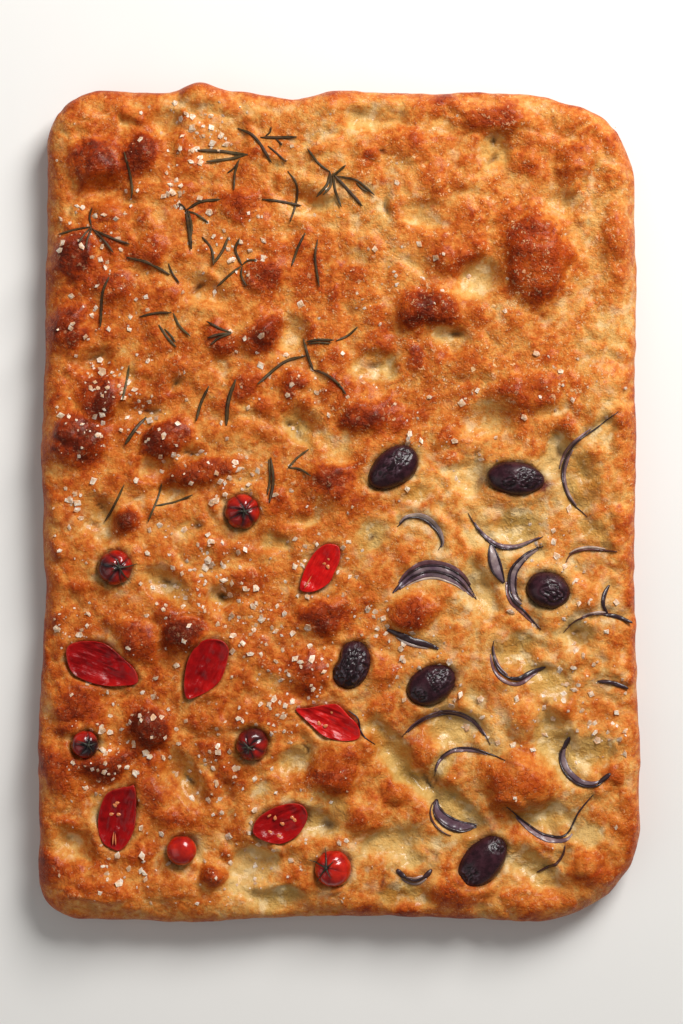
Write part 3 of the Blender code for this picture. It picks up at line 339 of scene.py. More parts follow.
# Rosemary needles: the points that each runs through, its width, and how green it still is.
NEEDLES = (
    (((-103.8, 168), (-101.4, 158.4), (-100.2, 150), (-100.8, 145.8)), 1.5, 0.2),
    (((-44.4, 167), (-57, 168.8), (-69, 169.2)), 2.0, 0.4), (((-44.8, 167), (-54.6, 165), (-64.6, 163.8)), 1.8, 0.4),
    (((-48.6, 165), (-50.8, 158), (-51.2, 149.8)), 1.4, 0.3), (((-48.8, 164.5), (-51, 161), (-54.4, 158.4)), 1.1, 0.2),
    (((-49.4, 180.2), (-41.0, 175.2), (-33, 163)), 1.9, 0.2), (((-38.4, 175.4), (-29.4, 175.2), (-20.6, 175.4)), 1.8, 0.3),
    (((-36, 176), (-33.8, 177.8), (-33.2, 180.4)), 1.1, 0.3), (((-31.2, 174.8), (-29.6, 173.4), (-27.8, 171.2)), 1.1, 0.1),
    (((-34.8, 171.2), (-30, 167), (-25.8, 163.2)), 1.3, 0.1),
    (((-25.2, 159.2), (-21, 152.6), (-21, 145.4), (-24, 134.4)), 1.4, 0.3),
    (((-37.6, 145.6), (-28.2, 144.4), (-18.6, 142.8)), 1.7, 0.4),
    (((-4.8, 158.6), (-10.2, 162.4), (-15.8, 169.6)), 1.5, 0.4), (((-4.8, 158.6), (-6.2, 152.6), (-11.4, 146.6)), 1.8, 0.3),
    (((-4.6, 158.2), (-4.6, 152), (-8.2, 147.4)), 1.6, 0.3), (((-3.4, 157.6), (-2.4, 150.2), (0.6, 141.6)), 1.6, 0.3),
    (((-3.6, 158), (3, 150.8), (10.8, 142)), 2.0, 0.1), (((-4.4, 156.4), (-1, 158.6), (2.8, 161.6)), 1.5, 0.5),
    (((-1.6, 156.6), (2.6, 155.8), (9, 153.8), (16.8, 147.2)), 1.4, 0.3), (((7.8, 153.2), (10.6, 150.4), (13.8, 149)), 1.2, 0.5),
    (((-74.4, 140.4), (-67, 144.4), (-57.6, 145.4)), 1.8, 0.2), (((-74.4, 140.8), (-73, 132), (-71.6, 121.2)), 2.2, 0.2),
    (((-73.4, 140.4), (-71.6, 132.6), (-72.2, 126)), 1.6, 0.5), (((-74, 140), (-69, 138), (-63.6, 134.4)), 1.4, 0.4),
    (((-74.4, 140.4), (-75.8, 142.4), (-77.8, 143.6)), 1.1, 0.2),
    (((-119.6, 132), (-128, 130.6), (-136, 128.5)), 1.4, 0.2), (((-119.6, 132), (-120.6, 136.7), (-119.4, 141.3)), 1.2, 0.1),
    (((-119.6, 132), (-122.8, 128.4), (-125.4, 124)), 1.2, 0.3), (((-119.4, 131.6), (-121.4, 126), (-121.8, 121)), 1.3, 0.2),
    (((-119.2, 131.2), (-113.4, 125), (-109, 119.4)), 1.5, 0.2), (((-118, 130.4), (-109.8, 126.4), (-101.2, 123.6)), 1.6, 0.1),
    (((-102.8, 117.4), (-93, 114.8), (-82.2, 109.2)), 1.9, 0.2), (((-82.8, 114.6), (-80.8, 109.6), (-77.4, 105)), 1.3, 0.2),
    (((-66.6, 127.6), (-62, 121.4), (-60.8, 113.4)), 1.6, 0.2), (((-54, 127.2), (-56.4, 121), (-60.6, 114.6)), 1.8, 0.5),
    (((-47.2, 113.6), (-50.4, 120.8), (-48.4, 126.6)), 1.6, 0.4), (((-47.2, 113.6), (-44.2, 115.8), (-40, 116)), 1.2, 0.5),
    (((-47.4, 113.4), (-53, 109), (-59.4, 103.4)), 1.6, 0.3), (((-47.2, 113), (-47.4, 108), (-45, 103.2)), 1.2, 0.4),
    (((-16.8, 129.2), (-20.4, 121.8), (-23.4, 113)), 1.6, 0.3), (((-10.8, 126.2), (-12, 117), (-10, 103)), 1.5, 0.1),
    (((-111, 108), (-114.4, 99), (-115.6, 84)), 1.7, 0.1), (((-96.8, 88.8), (-88.2, 90.6), (-81, 90.6)), 1.5, 0.1),
    (((-80.4, 90.6), (-77.4, 84.4), (-72, 79.2)), 1.5, 1.0), (((-87.4, 85), (-83.4, 78.8), (-78.8, 74)), 1.6, 0.6),
    (((-84.6, 83), (-81.4, 79.6), (-79.2, 76.2)), 1.2, 0.4), (((-52.2, 81), (-57.6, 82.8), (-64.2, 86.4)), 1.5, 0.1),
    (((-52.2, 80.6), (-58, 80), (-63.6, 78.4)), 1.7, 0.2), (((-52.4, 80.4), (-58, 78.4), (-62.4, 75)), 1.4, 0.2),
    (((-101.8, 65.7), (-103.2, 57), (-104.8, 48.2)), 1.6, 1.0), (((-63.2, 55.4), (-67.2, 47), (-69.4, 38.6)), 1.8, 0.4),
    (((-50.2, 58.6), (-53.8, 48), (-54.8, 36.4)), 2.4, 0.3), (((-16.4, 70), (-27.2, 66.8), (-39.8, 56.2)), 1.9, 0.4),
    (((-17.8, 78.6), (-15.4, 69.6), (-12.8, 62.8)), 1.8, 0.3), (((-16.2, 76.8), (-10, 77.6), (-3, 77.4)), 1.6, 0.3),
    (((-15.6, 75.8), (-10, 76.2), (-4.6, 75.8)), 1.2, 0.6), (((-12.8, 63.2), (-7.4, 61.2), (0, 56)), 1.7, 0.2),
    (((-93.7, 40.6), (-98.4, 35), (-103.6, 27.2)), 2.2, 0.3), (((-104, 8), (-108.6, -1.6), (-114, -10)), 1.5, 0.5),
    (((-33.5, 21), (-32.2, 10), (-34, -1)), 1.9, 0.2), (((-34.4, 20), (-33.8, 11), (-35, 3)), 1.3, 0.6),
    (((-15, 25), (-20.4, 21), (-25, 16)), 1.4, 0.7), (((-25, 16), (-19.4, 15.4), (-14, 12)), 1.3, 0.6),
    (((-86, 9), (-88.6, 0), (-92.5, -10)), 1.3, 0.8), (((-90, -2.5), (-80, -0.6), (-71, 3)), 1.5, 0.5),
    (((-2, 77), (4, 80), (8.5, 84)), 1.4, 0.4), (((-2, 57), (0.6, 54.6), (3, 51)), 1.2, 0.4),
)
# Where salt fell: x, y, reach, and how many crystals.
SALT_FALLS = (
    (-62, 177, 11, 50), (-75, 187, 11, 26), (-80, 150, 15, 44), (-110, 95, 20, 50), (-100, 46, 17, 60),
    (-115, 58, 14, 40), (-122, 35, 17, 46), (-110, -127, 16, 80), (-92, -104, 16, 36), (-30, -100, 20, 70),
    (-60, -28, 24, 110), (-38, -60, 20, 110), (-15, -86, 18, 60), (-70, -50, 20, 80), (-84, 28, 20, 46),
    (-50, 10, 16, 80), (-130, -60, 14, 50), (-60, -130, 18, 70), (-100, -180, 22, 60), (-20, 60, 22, 60),
    (-10, -30, 18, 70), (20, -60, 18, 50), (40, -80, 16, 40), (-120, 130, 16, 50), (-50, 120, 18, 50),
    (110, -50, 16, 50), (100, -20, 14, 30), (120, -110, 16, 30), (60, -105, 14, 30), (30, 110, 26, 40),
    (115, -85, 20, 50), (85, -112, 20, 30), (133, -112, 12, 24), (100, -45, 14, 24), (-20, -160, 18, 20),
    (50, 30, 26, 50), (-45, -170, 20, 50), (-128, 0, 12, 30), (110, 50, 24, 30),
)
SALT_SHARE = 0.64
SCATTERED_SALT = 420        # further crystals anywhere, thinning out towards the right
FLAKES = (
    (-93, -55, 3.2), (-65, -53, 3.0), (-38, -56, 3.4), (-16, -46, 4.2), (-33, -61, 3.0), (-84, -71, 2.8),
    (-78, -117, 3.6), (-29, -97, 3.0), (-27, -111, 3.0), (-129, 0, 3.0), (-45, 21, 2.8), (-46, -169, 3.0),
    (-69, -194, 3.2), (-129, -93, 2.6), (3.5, 50, 2.8), (-96, 174, 4.2), (-62, 180, 4.6), (-58, 176, 3.4),
    (-66, 176, 3.2), (-93, 110, 3.4), (-64, 134.5, 3.0), (-79.5, 142, 3.4), (-101, 145.5, 2.2), (-23, 171, 3.0),
    (-110, 62, 2.6), (-92, 48, 3.0), (-79, -110, 3.2), (-86, -104, 3.6), (-112, -92, 3.0), (-120, -87, 3.2),
    (36, -70, 3.0), (48, -79, 2.6), (71, -114, 3.4), (-41, -149, 4.0), (-43, -155, 3.2), (-30, -103, 2.8),
    (-57, -30, 3.0), (-70, -33, 2.6), (-15, -44, 2.6), (-128, -126, 3.2), (-113, -130, 2.8), (-96, -40, 3.2),
    (57, -102, 2.4), (90, -28, 2.8), (118, -34, 2.8), (-50, 72, 2.6), (-10, 88, 2.4), (-75, 62, 2.6),
)
# Wine-coloured juice that ran out of the olives and onions: x, y, reach, how much.
JUICE = (
    (69.5, 10.5, 3.0, 0.8), (100.5, 5.5, 4.2, 0.9), (96, 9, 3.0, 0.5), (57, -84, 4.0, 0.7),
    (55, -94, 3.5, 0.4), (67, -161, 4.5, 0.6), (90, -42, 2.4, 0.4), (8, -94, 2.5, 0.3),
    (84, 2, 4.0, 0.35), (14, 7, 2.6, 0.3), (128.5, -88.5, 5.5, 0.35), (30, -112, 3.5, 0.45),
    (82, -125.5, 3.0, 0.4), (124, -23, 5.0, 0.25), (133, -52, 4.0, 0.2), (41, -180, 3.0, 0.35),
)

SANDY = (60, 100, 110)      # where the crust's grain shows most, and how far from there
# How pale and moist the dimples are, from the well-browned left towards the lower right; the left's darker dimples also
# stand for painted shade.
PALING = ((-130, 0.40), (-40, 0.75), (40, 1.0))
BLISTER_BROWNING = 0.95      # how much of the browning listed for blisters, lumps and bubbles is felt
# Puffs of dough with creases between them, all over the crust: size, height, browning, seed.
# How strongly painted shade darkens the creases between the puffs.
PAINTED_CREASE_SHADE = 0.10
PUFFS = ((17, 2.6, 0.16, 1), (8.5, 1.6, 0.18, 2), (4.6, 0.8, 0.10, 6))

GRID_STEP = 1.3             # about how far apart the top's points are
ROLL_ROWS = 10              # loops round the top edge's quarter turn
WALL_ROWS = 6
UNDER_SHARE = 4             # the underside's grid is this many times coarser
TOP, SIDE, UNDER = range(3)  # the parts of the crust's surface, as its baked colours are laid out
WALL_FOOT = 3.5             # how far in and up the wall's foot is rounded
BROWN_AT_REST = 0.44        # browning of the crust where nothing changes it


def unit(vector):
    return vector / np.linalg.norm(vector, axis=-1, keepdims=True)


# ---------------------------------------------------------------- the plan of the slab

def corner_arc(before, corner, after, radius, steps=24):
    """Points round a corner of this radius, anticlockwise, between two straight sides."""
    towards_before = unit(before - corner)
    towards_after = unit(after - corner)
    half = math.acos(towards_before @ towards_after) / 2
    centre = corner + unit(towards_before + towards_after) * radius / math.sin(half)
    start = corner + towards_before * radius / math.tan(half) - centre
    first = math.atan2(start[1], start[0])
    turns = first + (math.pi - 2 * half) * np.arange(steps + 1) / steps
    return centre + radius * np.column_stack((np.cos(turns), np.sin(turns)))


def plan_path():
    """The plan as a run of points once round and over its first corner again.

    It comes with its length up to each point, up to each corner's middle, and once round.
    """
    sharp = [np.array(corner[:2], float) for corner in CORNERS]
    arcs = []
    for i, corner in enumerate(CORNERS):
        arcs.append(corner_arc(sharp[i - 1], sharp[i], sharp[(i + 1) % len(sharp)], corner[2]))
    steps = len(arcs[0])
    path = np.vstack(arcs + [arcs[0]])
    lengths = np.append(0, np.cumsum(np.linalg.norm(np.diff(path, axis=0), axis=1)))
    middles = np.array([lengths[i * steps + steps // 2] for i in range(len(arcs) + 1)])
    return path, lengths, middles, lengths[len(arcs) * steps]


PATH, PATH_LENGTHS, CORNER_MIDDLES, ONCE_ROUND = plan_path()
DIRECTION_STEP = 0.5


def path_points(distances):
    wrapped = distances % ONCE_ROUND
    return np.column_stack([np.interp(wrapped, PATH_LENGTHS, PATH[:, k]) for k in (0, 1)])


def plan_points(around, outwards):
    """Points of the slab's plan, where around counts corners and outwards is how far out of it."""
    side = np.minimum(around.astype(int), len(CORNERS) - 1)
    share = around - side
    distances = CORNER_MIDDLES[side] * (1 - share) + CORNER_MIDDLES[side + 1] * share
    points = path_points(distances)
    along = unit(path_points(distances + DIRECTION_STEP) - path_points(distances - DIRECTION_STEP))
    reach_out = np.full(len(points), float(outwards))
    for x, y, swell, reach in EDGE_SWELLS:
        nearness = np.linalg.norm(points - (x, y), axis=1) / reach
        reach_out += swell * np.exp(-nearness**2)
    return points + np.column_stack((along[:, 1], -along[:, 0])) * reach_out[:, None]


def border(across, along, outwards):
    """The loop of points round the plan, in the order that the patch's border has them."""
    around = [np.arange(across) / across, 1 + np.arange(along) / along]
    around += [2 + np.arange(across) / across, 3 + np.arange(along) / along]
    return plan_points(np.concatenate(around), outwards)


def patch(across, along, inset):
    """A grid of points over the top, [across + 1, along + 1, 2], blended from its four sides."""
    u = np.linspace(0, 1, across + 1)[:, None, None]
    v = np.linspace(0, 1, along + 1)[None, :, None]
    south = plan_points(u.ravel(), -inset)[:, None, :]
    north = plan_points(3 - u.ravel(), -inset)[:, None, :]
    east = plan_points(1 + v.ravel(), -inset)[None, :, :]
    west = plan_points((4 - v.ravel()) % 4, -inset)[None, :, :]
    sides = (1 - v) * south + v * north + (1 - u) * west + u * east
    low = (1 - u) * south[0, 0] + u * south[-1, 0]
    high = (1 - u) * north[0, 0] + u * north[-1, 0]
    return sides - (1 - v) * low - v * high


def plan_shift():
    """How far the frame's slab lies from these plan places: it is centred on the Z axis."""
    loop = border(40, 56, 0.0)
    middle = (loop.max(axis=0) + loop.min(axis=0)) / 2
    low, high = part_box("bread")
    centre = np.array((low + high)[:2]) / 2 / MM
    return centre - middle


SHIFT = plan_shift()


# ---------------------------------------------------------------- relief and browning

def mounds(x, y, row, reach=MOUND_REACH):
    """How much of a blister or dimple is felt at each point, from 0 outside it to 1 at its middle."""
    turn = math.radians(row[4])
    along = (x - row[0]) * math.cos(turn) + (y - row[1]) * math.sin(turn)
    aside = (y - row[1]) * math.cos(turn) - (x - row[0]) * math.sin(turn)
    far = (along / row[2]) ** 2 + (aside / row[3]) ** 2
    return np.maximum(0.0, 1 - far / reach**2) ** 2


def soft_noise(x, y, size, seed):
    """Smooth random relief between -1 and 1, with swells about this size."""
    rng = np.random.default_rng(seed)
    turn = rng.uniform(0, math.pi)
    table = rng.uniform(-1, 1, (97, 97))
    along = (x * math.cos(turn) + y * math.sin(turn)) / size
    aside = (y * math.cos(turn) - x * math.sin(turn)) / size
    column, row = np.floor(along).astype(int), np.floor(aside).astype(int)
    s, t = along - column, aside - row
    s, t = s * s * (3 - 2 * s), t * t * (3 - 2 * t)

    def corner(i, j):
        return table[(column + i) % 97, (row + j) % 97]

    near = corner(0, 0) * (1 - s) + corner(1, 0) * s
    far = corner(0, 1) * (1 - s) + corner(1, 1) * s
    return near * (1 - t) + far * t


def frame_relief(x, y):
    """The height that the part's source gives the top of the crust."""
    change = np.zeros_like(x)
    for row in BLISTERS:
        change += row[5] * mounds(x, y, row)
    for row in DIMPLES:
        change -= row[5] * mounds(x, y, row)
    for height, turns_x, turns_y, phase in WAVES:
        change += height * np.sin(2 * math.pi * (turns_x * x + turns_y * y) + phase)
    limit = np.where(change > 0, MOST_RISE, MOST_FALL)
    return LEVEL_HEIGHT + limit * np.tanh(change / limit)


def random_bubbles(count=420, seed=11):
    """Small bubbles all over the crust: x, y, radius, height, browning."""
    rng = np.random.default_rng(seed)
    x, y = rng.uniform(-142, 142, count), rng.uniform(-199, 196, count)
    radius = rng.uniform(1.6, 4.2, count) * rng.uniform(0.7, 1.3, count)
    return np.column_stack((x, y, radius, radius * rng.uniform(0.10, 0.24, count), rng.uniform(-0.04, 0.12, count)))


def warp(x, y):
    """Bends plan places a little, so that blisters and dimples aren't neat ovals."""
    bent_x, bent_y = x, y
    for size, reach, seed in ((17, 2.8, 21), (8, 2.0, 22), (4.5, 0.9, 23)):
        bent_x = bent_x + reach * soft_noise(x, y, size, seed)
        bent_y = bent_y + reach * soft_noise(x, y, size, seed + 10)
    return bent_x, bent_y


def steepened(felt):
    """What a smooth mound lacks of one with a steep side and a flat middle."""
    steep = np.clip((felt - 0.12) / 0.46, 0, 1)
    return steep * steep * (3 - 2 * steep) - felt


class Crust:
    """The crust's relief and looks over the plan, which the toppings, herbs and salt also lie on."""

    def __init__(self, toppings, slices):
        self.toppings = toppings
        self.slices = slices

    def height(self, x, y):
        return self.relief(x, y)[0]

    def relief(self, x, y):
        """The height at each point, and the looks there: browning, moisture, gloss and painted shade."""
        height = frame_relief(x, y)
        bent = warp(x, y)
        brown = np.full_like(x, BROWN_AT_REST)
        moist, gloss, stain = np.zeros_like(x), np.zeros_like(x), np.zeros_like(x)
        juice = np.zeros_like(x)
        for juice_x, juice_y, reach, amount in JUICE:
            juice += amount * np.exp(-(((bent[0] - juice_x) ** 2 + (bent[1] - juice_y) ** 2) / reach**2))
        for tint_x, tint_y, reach, amount in TINTS:
            brown += amount * np.exp(-(((x - tint_x) ** 2 + (y - tint_y) ** 2) / reach**2))
        calm = np.zeros_like(x)
        for row in BLISTERS + LUMPS:
            felt = mounds(*bent, row)
            calm = np.maximum(calm, felt * min(1.0, row[5] / 8))
            brown += BLISTER_BROWNING * row[6] * (felt + 0.5 * steepened(felt))
            gloss += 0.5 * felt
            height += 0.30 * row[5] * steepened(felt)
        for row in LUMPS:
            height += row[5] * mounds(*bent, row)
        paling = np.interp(x - 0.35 * y, *zip(*PALING))
        for row in DIMPLES + PITS:
            felt = mounds(*bent, row)
            brown -= paling * row[6] * (felt + 0.5 * steepened(felt))
            moist += paling * row[7] * (felt + 0.5 * steepened(felt))
            height -= 0.30 * row[5] * steepened(felt)
        for row in PITS:
            height -= 0.8 * row[5] * mounds(*bent, row)
        for row in SLITS:
            felt = mounds(*bent, row)
            height -= row[5] * felt
            # painted shade down in the slit
            stain += 0.7 * felt
        for bubbles, shine in ((BUBBLES, 1.0), (random_bubbles(), 0.3)):
            for bubble_x, bubble_y, radius, rise, browning in bubbles:
                far = ((bent[0] - bubble_x) ** 2 + (bent[1] - bubble_y) ** 2) / radius**2
                dome = np.maximum(0.0, 1 - far) ** 0.7
                height += 1.2 * rise * dome
                # a browner ring round each bubble's foot: painted shade
                brown += 0.09 * shine**2 * np.exp(-(((np.sqrt(far) - 1) / 0.22) ** 2))
                brown += BLISTER_BROWNING * browning * dome
                gloss += shine * dome
        for size, rise, browning, seed in PUFFS:
            puff = np.abs(soft_noise(*bent, size, seed)) - 0.4
            height += rise * puff * (1 - 0.5 * calm)
            brown += browning * puff * (1 - 0.7 * calm)
            # painted shade along the creases between the puffs
            stain += PAINTED_CREASE_SHADE * np.exp(-(((puff + 0.4) / 0.07) ** 2)) * (1 - 0.7 * calm)
        height += 0.30 * soft_noise(x, y, 3.4, 3)
        brown += 0.06 * soft_noise(x, y, 19, 4) + 0.05 * soft_noise(x, y, 8, 5)
        height, brown = self.around_toppings(x, y, height, brown, stain, juice)
        height, brown, stain = self.around_slices(x, y, height, brown, stain)
        sand = 0.4 + 0.6 * np.exp(-(((x - SANDY[0]) ** 2 + (y - SANDY[1]) ** 2) / SANDY[2] ** 2))
        looks = [np.clip(value, 0, 1) for value in (brown, moist, gloss, stain, juice, sand)]
        return height, looks

    def around_toppings(self, x, y, height, brown, stain, juice):
        """The dough puffs up round each topping, pale where it touches, and makes a well for it. Painted shade lies
        close round the olives.
        """
        for topping in self.toppings:
            near = topping.distance(x, y)
            puff = np.exp(-(((near - 2.9) / 2.8) ** 2))
            well = 1 / (1 + np.exp(np.clip((near + 1.3) / 0.45, -30, 30)))
            height += 1.1 * puff - 0.3 * np.exp(-((near / 1.0) ** 2)) - topping.well * well
            brown -= 0.14 * np.exp(-((np.maximum(near - 0.6, 0) / 2.6) ** 2))
            # painted shade close round the topping, for olives only
            stain += topping.stain * np.exp(-((near / 0.9) ** 2))
            juice += topping.juice * (0.6 * np.exp(-((near / 1.0) ** 2)) + 0.3 * np.exp(-((near / 2.6) ** 2)))
        return height, brown

    def around_slices(self, x, y, height, brown, stain):
        for line in self.slices:
            near = line.distance(x, y)
            height -= 0.9 * np.exp(-((near / 1.8) ** 2)) - 0.5 * np.exp(-(((near - 4) / 2.2) ** 2))
            brown -= 0.12 * np.exp(-((near / 5) ** 2))
            # painted shade along the slice
            stain += 0.16 * np.exp(-((near / 2.2) ** 2))
        return height, brown, stain


# ---------------------------------------------------------------- where the frame's toppings are

def node_points(name):
    """The distinct points of a node's mesh, in the plan's millimetres."""
    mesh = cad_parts[name].data
    points = np.empty(len(mesh.vertices) * 3)
    mesh.vertices.foreach_get("co", points)
    points = np.unique(np.round(points.reshape(-1, 3) / MM, 3), axis=0)
    points[:, :2] -= SHIFT
    return points


class Footprint:
    """What a topping covers of the crust: an ellipse fitted to its node."""

    def __init__(self, name, well):
        points = node_points(name)
        flat = points[:, :2]
        middle = flat.mean(axis=0)
        axes = np.linalg.svd(flat - middle)[2]
        axes[0] *= 1 if axes[0, 0] > 0 else -1
        axes[1] = (-axes[0, 1], axes[0, 0])
        local = (flat - middle) @ axes.T
        low, high = local.min(axis=0), local.max(axis=0)
        self.name, self.well, self.axes = name, well, axes
        self.middle = middle + (low + high) / 2 @ axes
        self.half_length, self.half_width = (high - low) / 2
        self.low, self.top = points[:, 2].min(), points[:, 2].max()
        self.notch = (0.0, 0.0)
        # how much painted shade lies close round the topping (olives only), and how much juice
        self.stain, self.juice = (0.30, 0.25) if name.startswith("olive") else (0.0, 0.55)

    def edge(self, turns):
        """How far the outline is from the middle in each direction of the plan."""
        turns = turns - math.atan2(self.axes[0, 1], self.axes[0, 0])
        long, wide = self.half_length, self.half_width
        kept = notched(turns / (2 * math.pi), *self.notch)
        return kept * long * wide / np.hypot(wide * np.cos(turns), long * np.sin(turns))

    def distance(self, x, y):
        """About how far each point is outside the outline, negative inside it."""
        far_x, far_y = x - self.middle[0], y - self.middle[1]
        return np.hypot(far_x, far_y) - self.edge(np.arctan2(far_y, far_x))


class HalfPrint(Footprint):
    """The same for a tomato half, whose outline is given round its node's middle."""

    def __init__(self, name, outline):
        super().__init__(name, 3.0)
        points = smooth_route(outline, 0.6, closed=True)[:-1]
        turns = np.arctan2(points[:, 1], points[:, 0]) % (2 * math.pi)
        order = np.argsort(turns)
        self.turns, self.radii = turns[order], np.linalg.norm(points, axis=1)[order]

    def edge(self, turns):
        return np.interp(turns % (2 * math.pi), self.turns, self.radii, period=2 * math.pi)


def smooth_route(points, spacing, closed=False, steps_between=12):
    """Points evenly spaced on a smooth curve through the given ones."""
    knots = np.array(points, float)
    if closed:
        knots = np.vstack((knots[-1:], knots, knots[:2]))
    else:
        knots = np.vstack((2 * knots[0] - knots[1], knots, 2 * knots[-1] - knots[-2]))
    t = np.arange(steps_between)[:, None] / steps_between
    dense = []
    for a, b, c, d in zip(knots, knots[1:], knots[2:], knots[3:]):
        dense.append(b + t / 2 * (c - a + t * (2 * a - 5 * b + 4 * c - d + t * (3 * b - a - 3 * c + d))))
    dense = np.vstack(dense + [knots[-2:-1]])
    lengths = np.append(0, np.cumsum(np.linalg.norm(np.diff(dense, axis=0), axis=1)))
    at = np.linspace(0, lengths[-1], max(4, round(lengths[-1] / spacing)) + 1)
    return np.column_stack([np.interp(at, lengths, dense[:, k]) for k in (0, 1)])


class Slice:
    """An onion slice: the line that it follows, which way is left of it, and its half-width."""

    def __init__(self, points, width):
        self.route = smooth_route(points, 0.9)
        self.share = np.linspace(0, 1, len(self.route))
        along = unit(np.gradient(self.route, axis=0))
        self.left = np.column_stack((-along[:, 1], along[:, 0]))
        self.half_width = width / 2 * np.sin(math.pi * self.share) ** 0.6

    def distance(self, x, y):
        """How far each point is from the slice's edge, zero or more."""
        best = np.full(np.shape(x), 99.0)
        reach = 14
        low, high = self.route.min(axis=0) - reach, self.route.max(axis=0) + reach
        close = (x > low[0]) & (x < high[0]) & (y > low[1]) & (y < high[1])
        found = best[close]
        for (line_x, line_y), half_width in zip(self.route[::2], self.half_width[::2]):
            gap = np.hypot(x[close] - line_x, y[close] - line_y) - 0.8 * half_width
            found = np.minimum(found, np.maximum(gap, 0))
        best[close] = found
        return best


# ---------------------------------------------------------------- objects and materials

def make_object(name, points, faces, finish, smooth=True, replaced=()):
    """A piece of the object: points in metres, riding on the one body."""
    mesh = bpy.data.meshes.new(name)
    mesh.from_pydata([tuple(point) for point in points], [], faces)
    mesh.validate()
    obj = bpy.data.objects.new(name, mesh)
    bpy.context.scene.collection.objects.link(obj)
    mesh.materials.append(finish)
    if smooth:
        mesh.shade_smooth()
    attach(obj, "root")
    if replaced:
        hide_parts(*replaced)
    return obj


def set_attribute(obj, name, values):
    """A number at each of the mesh's points, which its material reads."""
    layer = obj.data.attributes.new(name, "FLOAT", "POINT")
    layer.data.foreach_set("value", np.asarray(values, np.float32))


class Finish:
    """A material under construction, with short ways to add and join its nodes."""

    def __init__(self, name):
        self.material = bpy.data.materials.new(name)
        self.material.use_nodes = True
        self.tree = self.material.node_tree
        self.shader = self.tree.nodes["Principled BSDF"]
        self.place = self.tree.nodes.new("ShaderNodeTexCoord").outputs["Object"]

    def feed(self, socket, value):
        if isinstance(value, bpy.types.NodeSocket):
            self.tree.links.new(value, socket)
        else:
            socket.default_value = value

    def add(self, kind, inputs, output=0, **settings):
        made = self.tree.nodes.new(kind)
        for key, value in settings.items():
            setattr(made, key, value)
        for key, value in inputs.items():
            self.feed(made.inputs[key], value)
        return made.outputs[output]

    def attribute(self, name):
        return self.add("ShaderNodeAttribute", {}, "Fac", attribute_name=name)

    def calculate(self, operation, first, second=0.0, third=0.0):
        inputs = {0: first, 1: second, 2: third}
        return self.add("ShaderNodeMath", inputs, operation=operation)

    def noise(self, size, detail=3.0, roughness=0.55, vector=None):
        """Noise whose features are about this many millimetres across."""
        inputs = {"Vector": vector or self.place, "Scale": 1 / (size * MM), "Detail": detail, "Roughness": roughness}
        return self.add("ShaderNodeTexNoise", inputs, "Fac")

    def cells(self, size, feature="F1", randomness=1.0):
        inputs = {"Vector": self.place, "Scale": 1 / (size * MM), "Randomness": randomness}
        return self.add("ShaderNodeTexVoronoi", inputs, "Distance", feature=feature)

    def pushed(self, size, reach):
        """Places pushed about by up to this much, so that what is drawn on them has uneven edges."""
        push = self.add("ShaderNodeTexNoise", {"Vector": self.place, "Scale": 1 / (size * MM)}, "Color")
        inputs = {0: push, 1: (reach * MM,) * 3, 2: self.place}
        return self.add("ShaderNodeVectorMath", inputs, "Vector", operation="MULTIPLY_ADD")

    def crystals(self, size, share, places):
        """Grains this far apart, in this share of the places for one: 1 on each and 0 between them."""
        distance = self.add("ShaderNodeTexVoronoi", {"Vector": places, "Scale": 1 / (size * MM)}, "Distance")
        chance = self.add("ShaderNodeSeparateColor", {0: distance.node.outputs["Color"]})
        reach = self.remap(chance, 1 - share, 1.0, 0.0, 0.48)
        return self.remap(self.calculate("SUBTRACT", reach, distance), 0.0, 0.14)

    def remap(self, value, low, high, to_low=0.0, to_high=1.0):
        inputs = {"Value": value, "From Min": low, "From Max": high, "To Min": to_low, "To Max": to_high}
        return self.add("ShaderNodeMapRange", inputs, "Result", clamp=True)

    def ramp(self, value, stops):
        made = self.tree.nodes.new("ShaderNodeValToRGB")
        elements = made.color_ramp.elements
        while len(elements) < len(stops):
            elements.new(0.5)
        for element, (position, colour) in zip(elements, stops):
            element.position = position
            element.color = (*colour, 1)
        self.feed(made.inputs[0], value)
        return made.outputs[0]

    def mix(self, share, first, second, blend="MIX"):
        made = self.tree.nodes.new("ShaderNodeMix")
        made.data_type = "RGBA"
        made.blend_type = blend
        made.clamp_factor = True
        self.feed(made.inputs[0], share)
        for socket, value in ((made.inputs[6], first), (made.inputs[7], second)):
            self.feed(socket, value if isinstance(value, bpy.types.NodeSocket) else (*value, 1))
        return made.outputs[2]

    def bump(self, height, depth, strength=1.0):
        """Tells the shader of relief this many millimetres deep."""
        inputs = {"Height": height, "Distance": depth * MM, "Strength": strength}
        self.feed(self.shader.inputs["Normal"], self.add("ShaderNodeBump", inputs, "Normal"))

    def set(self, **values):
        """Sets the shader's inputs, named with _ for each space."""
        for key, value in values.items():
            self.feed(self.shader.inputs[key.replace("_", " ")], value)


CRUST_COLOURS = (
    (0.00, (0.74, 0.46, 0.170)),
    (0.14, (0.73, 0.375, 0.105)),
    (0.28, (0.69, 0.270, 0.055)),
    (0.43, (0.60, 0.162, 0.022)),
    (0.58, (0.47, 0.084, 0.007)),
    (0.73, (0.35, 0.042, 0.003)),
    (0.87, (0.22, 0.020, 0.002)),
    (1.00, (0.11, 0.009, 0.002)),
)
# Moist dough's colours, made darker still so that the dimples carry painted shade.
MOIST_AND_SHADE_COLOURS = (
    (0.00, (0.54, 0.325, 0.085)),
    (0.30, (0.41, 0.190, 0.030)),
    (0.60, (0.27, 0.080, 0.008)),
    (1.00, (0.10, 0.018, 0.003)),
)
